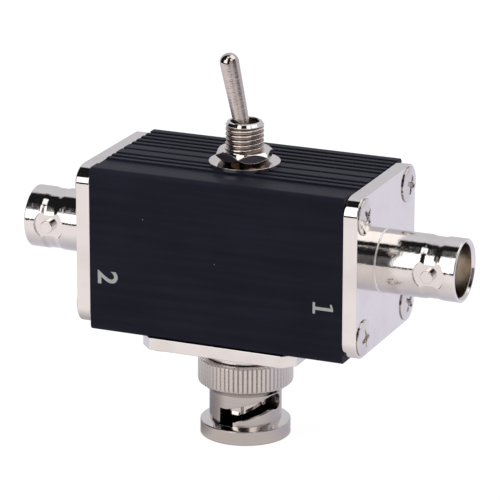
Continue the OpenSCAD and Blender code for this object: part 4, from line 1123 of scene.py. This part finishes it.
def floor_finish(colour):
    """Pale paper: fine grain, white to the camera except for a faint shadow, and a painted black shadow under the
    coupling nut. To gloss it glows as a painted reflection, with painted shade near the object, most so on the
    left, warm in front and lavender behind. Seen from below it is clear."""
    material, t, shader, place = new_material("floor_paper")
    out = next(n for n in t.nodes if n.type == "OUTPUT_MATERIAL")
    nut_shadow_span = 0.0068, 0.0072
    x, y, _ = add(t, "SeparateXYZ", {0: place}).outputs
    away = vector(t, "LENGTH", place)["Value"]
    paper = mixed(t, noise(t, place, 1200.0, 3.0), colour, shade(colour, 0.98))
    fill(t, shader, {
        # painted shadow: the colour is near black under the coupling nut, and the camera's white fades out there
        "Base Color": mixed(t, spread(t, away, *nut_shadow_span), (0.01, 0.009, 0.009), paper),
        "Roughness": 0.9,
        "Specular IOR Level": 0.1,
    })
    shader = shader.outputs[0]
    front = spread(t, maths(t, "DIVIDE", y, away), -0.6, 0.35, 1.0, 0.0)
    near = spread(t, maths(t, "DIVIDE", x, away), -1.02, -0.55, 0.32, 0.73)
    # painted shade: to gloss the floor glows less near the object, most so on the left
    level = product(t, spread(t, away, 0.012, 0.07, near, 1.0), spread(t, away, *nut_shadow_span))
    tone = mixed(t, front, (0.79, 0.775, 0.89), (0.98, 0.93, 0.93))
    glow = add(t, "Emission", {"Color": tone, "Strength": level}).outputs[0]
    white = add(t, "Emission", {"Strength": spread(t, away, *nut_shadow_span, 0.0, 1.06)}).outputs[0]
    camera = add(t, "MixShader", {0: 0.9, 1: shader, 2: white}).outputs[0]
    clear = add(t, "BsdfTransparent", {}).outputs[0]
    below = add(t, "NewGeometry", {}).outputs["Backfacing"]
    camera = add(t, "MixShader", {0: below, 1: camera, 2: clear}).outputs[0]
    gloss = add(t, "MixShader", {0: 0.93, 1: shader, 2: glow}).outputs[0]
    fill(t, out, {0: seen_as(t, camera, gloss, shader)})
    return material


class SWITCH_OT_stage(Step, bpy.types.Operator):
    """Floor, studio light and camera"""

    bl_idname = "antenna_switch.stage"
    bl_label = "Stage"

    def build(self, sizes, colours):
        scene = bpy.context.scene
        studio_world()
        disc = np.array([[0.0, 0.0]] + [[r, 0.0] for r in np.linspace(20, 460, 24)])
        p, f = turned(disc, angles(96))
        mesh = bpy.data.meshes.new("floor")
        mesh.from_pydata((p * MM).tolist(), [], f[:, ::-1].tolist())
        mesh.validate()
        mesh.materials.append(floor_finish(colours.floor))
        floor = bpy.data.objects.new("floor", mesh)
        scene.collection.objects.link(floor)

        for name, place, size, power in (
            ("top_light", (-0.15, 0.10, 0.75), 0.5, 3.2),
            ("front_light", (-0.45, -0.55, 0.45), 0.4, 1.6),
        ):
            lamp = bpy.data.lights.new(name, "AREA")
            lamp.size, lamp.energy = size, power
            obj = bpy.data.objects.new(name, lamp)
            scene.collection.objects.link(obj)
            obj.location = place
            obj.rotation_euler = (Vector((0, 0, 0.03)) - Vector(place)).to_track_quat("-Z", "Y").to_euler()
            obj.visible_camera = obj.visible_glossy = False

        # the camera that the photograph was solved for: its angles, its target and distance, its focal length
        turn, rise, roll = math.radians(22.9518), math.radians(17.6835), math.radians(0.1764)
        target, distance = Vector((0.6669, 0.0, 29.6602)) * MM, 0.5385
        sensor, focal_pixels, photo_pixels = 36.0, 3496.99, 500.0
        out = Vector((math.sin(turn) * math.cos(rise), -math.cos(turn) * math.cos(rise), math.sin(rise)))
        right = Vector((math.cos(turn), math.sin(turn), 0.0))
        up = out.cross(right)
        x = right * math.cos(roll) + up * math.sin(roll)
        y = up * math.cos(roll) - right * math.sin(roll)
        lens = bpy.data.cameras.new("camera")
        lens.sensor_width = sensor
        lens.lens = sensor * focal_pixels / photo_pixels
        lens.clip_start, lens.clip_end = 0.01, 10.0
        camera = bpy.data.objects.new("camera", lens)
        scene.collection.objects.link(camera)
        place = Matrix((x, y, out)).transposed().to_4x4()
        place.translation = target + out * distance
        camera.matrix_world = place
        scene.camera = camera
        scene.view_settings.view_transform = "Standard"


class SWITCH_PT_panel(bpy.types.Panel):
    """Lists the sizes, the colours and the steps"""

    bl_idname = "SWITCH_PT_panel"
    bl_label = "Antenna switch"
    bl_space_type = "VIEW_3D"
    bl_region_type = "UI"
    bl_category = "Antenna switch"

    def draw(self, context):
        for group in (context.scene.switch_sizes, context.scene.switch_colours):
            column = self.layout.column()
            for key in group.__annotations__:
                column.prop(group, key)
        for step in STEPS:
            self.layout.operator(step.bl_idname)


STEPS = (
    SWITCH_OT_stage,
    SWITCH_OT_housing,
    SWITCH_OT_marks,
    SWITCH_OT_end_plates,
    SWITCH_OT_jacks,
    SWITCH_OT_toggle,
    SWITCH_OT_flange,
    SWITCH_OT_coupling_nut,
    SWITCH_OT_inner_parts,
    SWITCH_OT_springs,
)
CLASSES = (SwitchSizes, SwitchColours, *STEPS, SWITCH_PT_panel)


def register():
    for cls in CLASSES:
        bpy.utils.register_class(cls)
    bpy.types.Scene.switch_sizes = bpy.props.PointerProperty(type=SwitchSizes)
    bpy.types.Scene.switch_colours = bpy.props.PointerProperty(type=SwitchColours)


def unregister():
    del bpy.types.Scene.switch_sizes
    del bpy.types.Scene.switch_colours
    for cls in reversed(CLASSES):
        bpy.utils.unregister_class(cls)


def main():
    register()
    for step in STEPS:
        group, name = step.bl_idname.split(".")
        getattr(getattr(bpy.ops, group), name)()


if __name__ == "__main__":
    main()
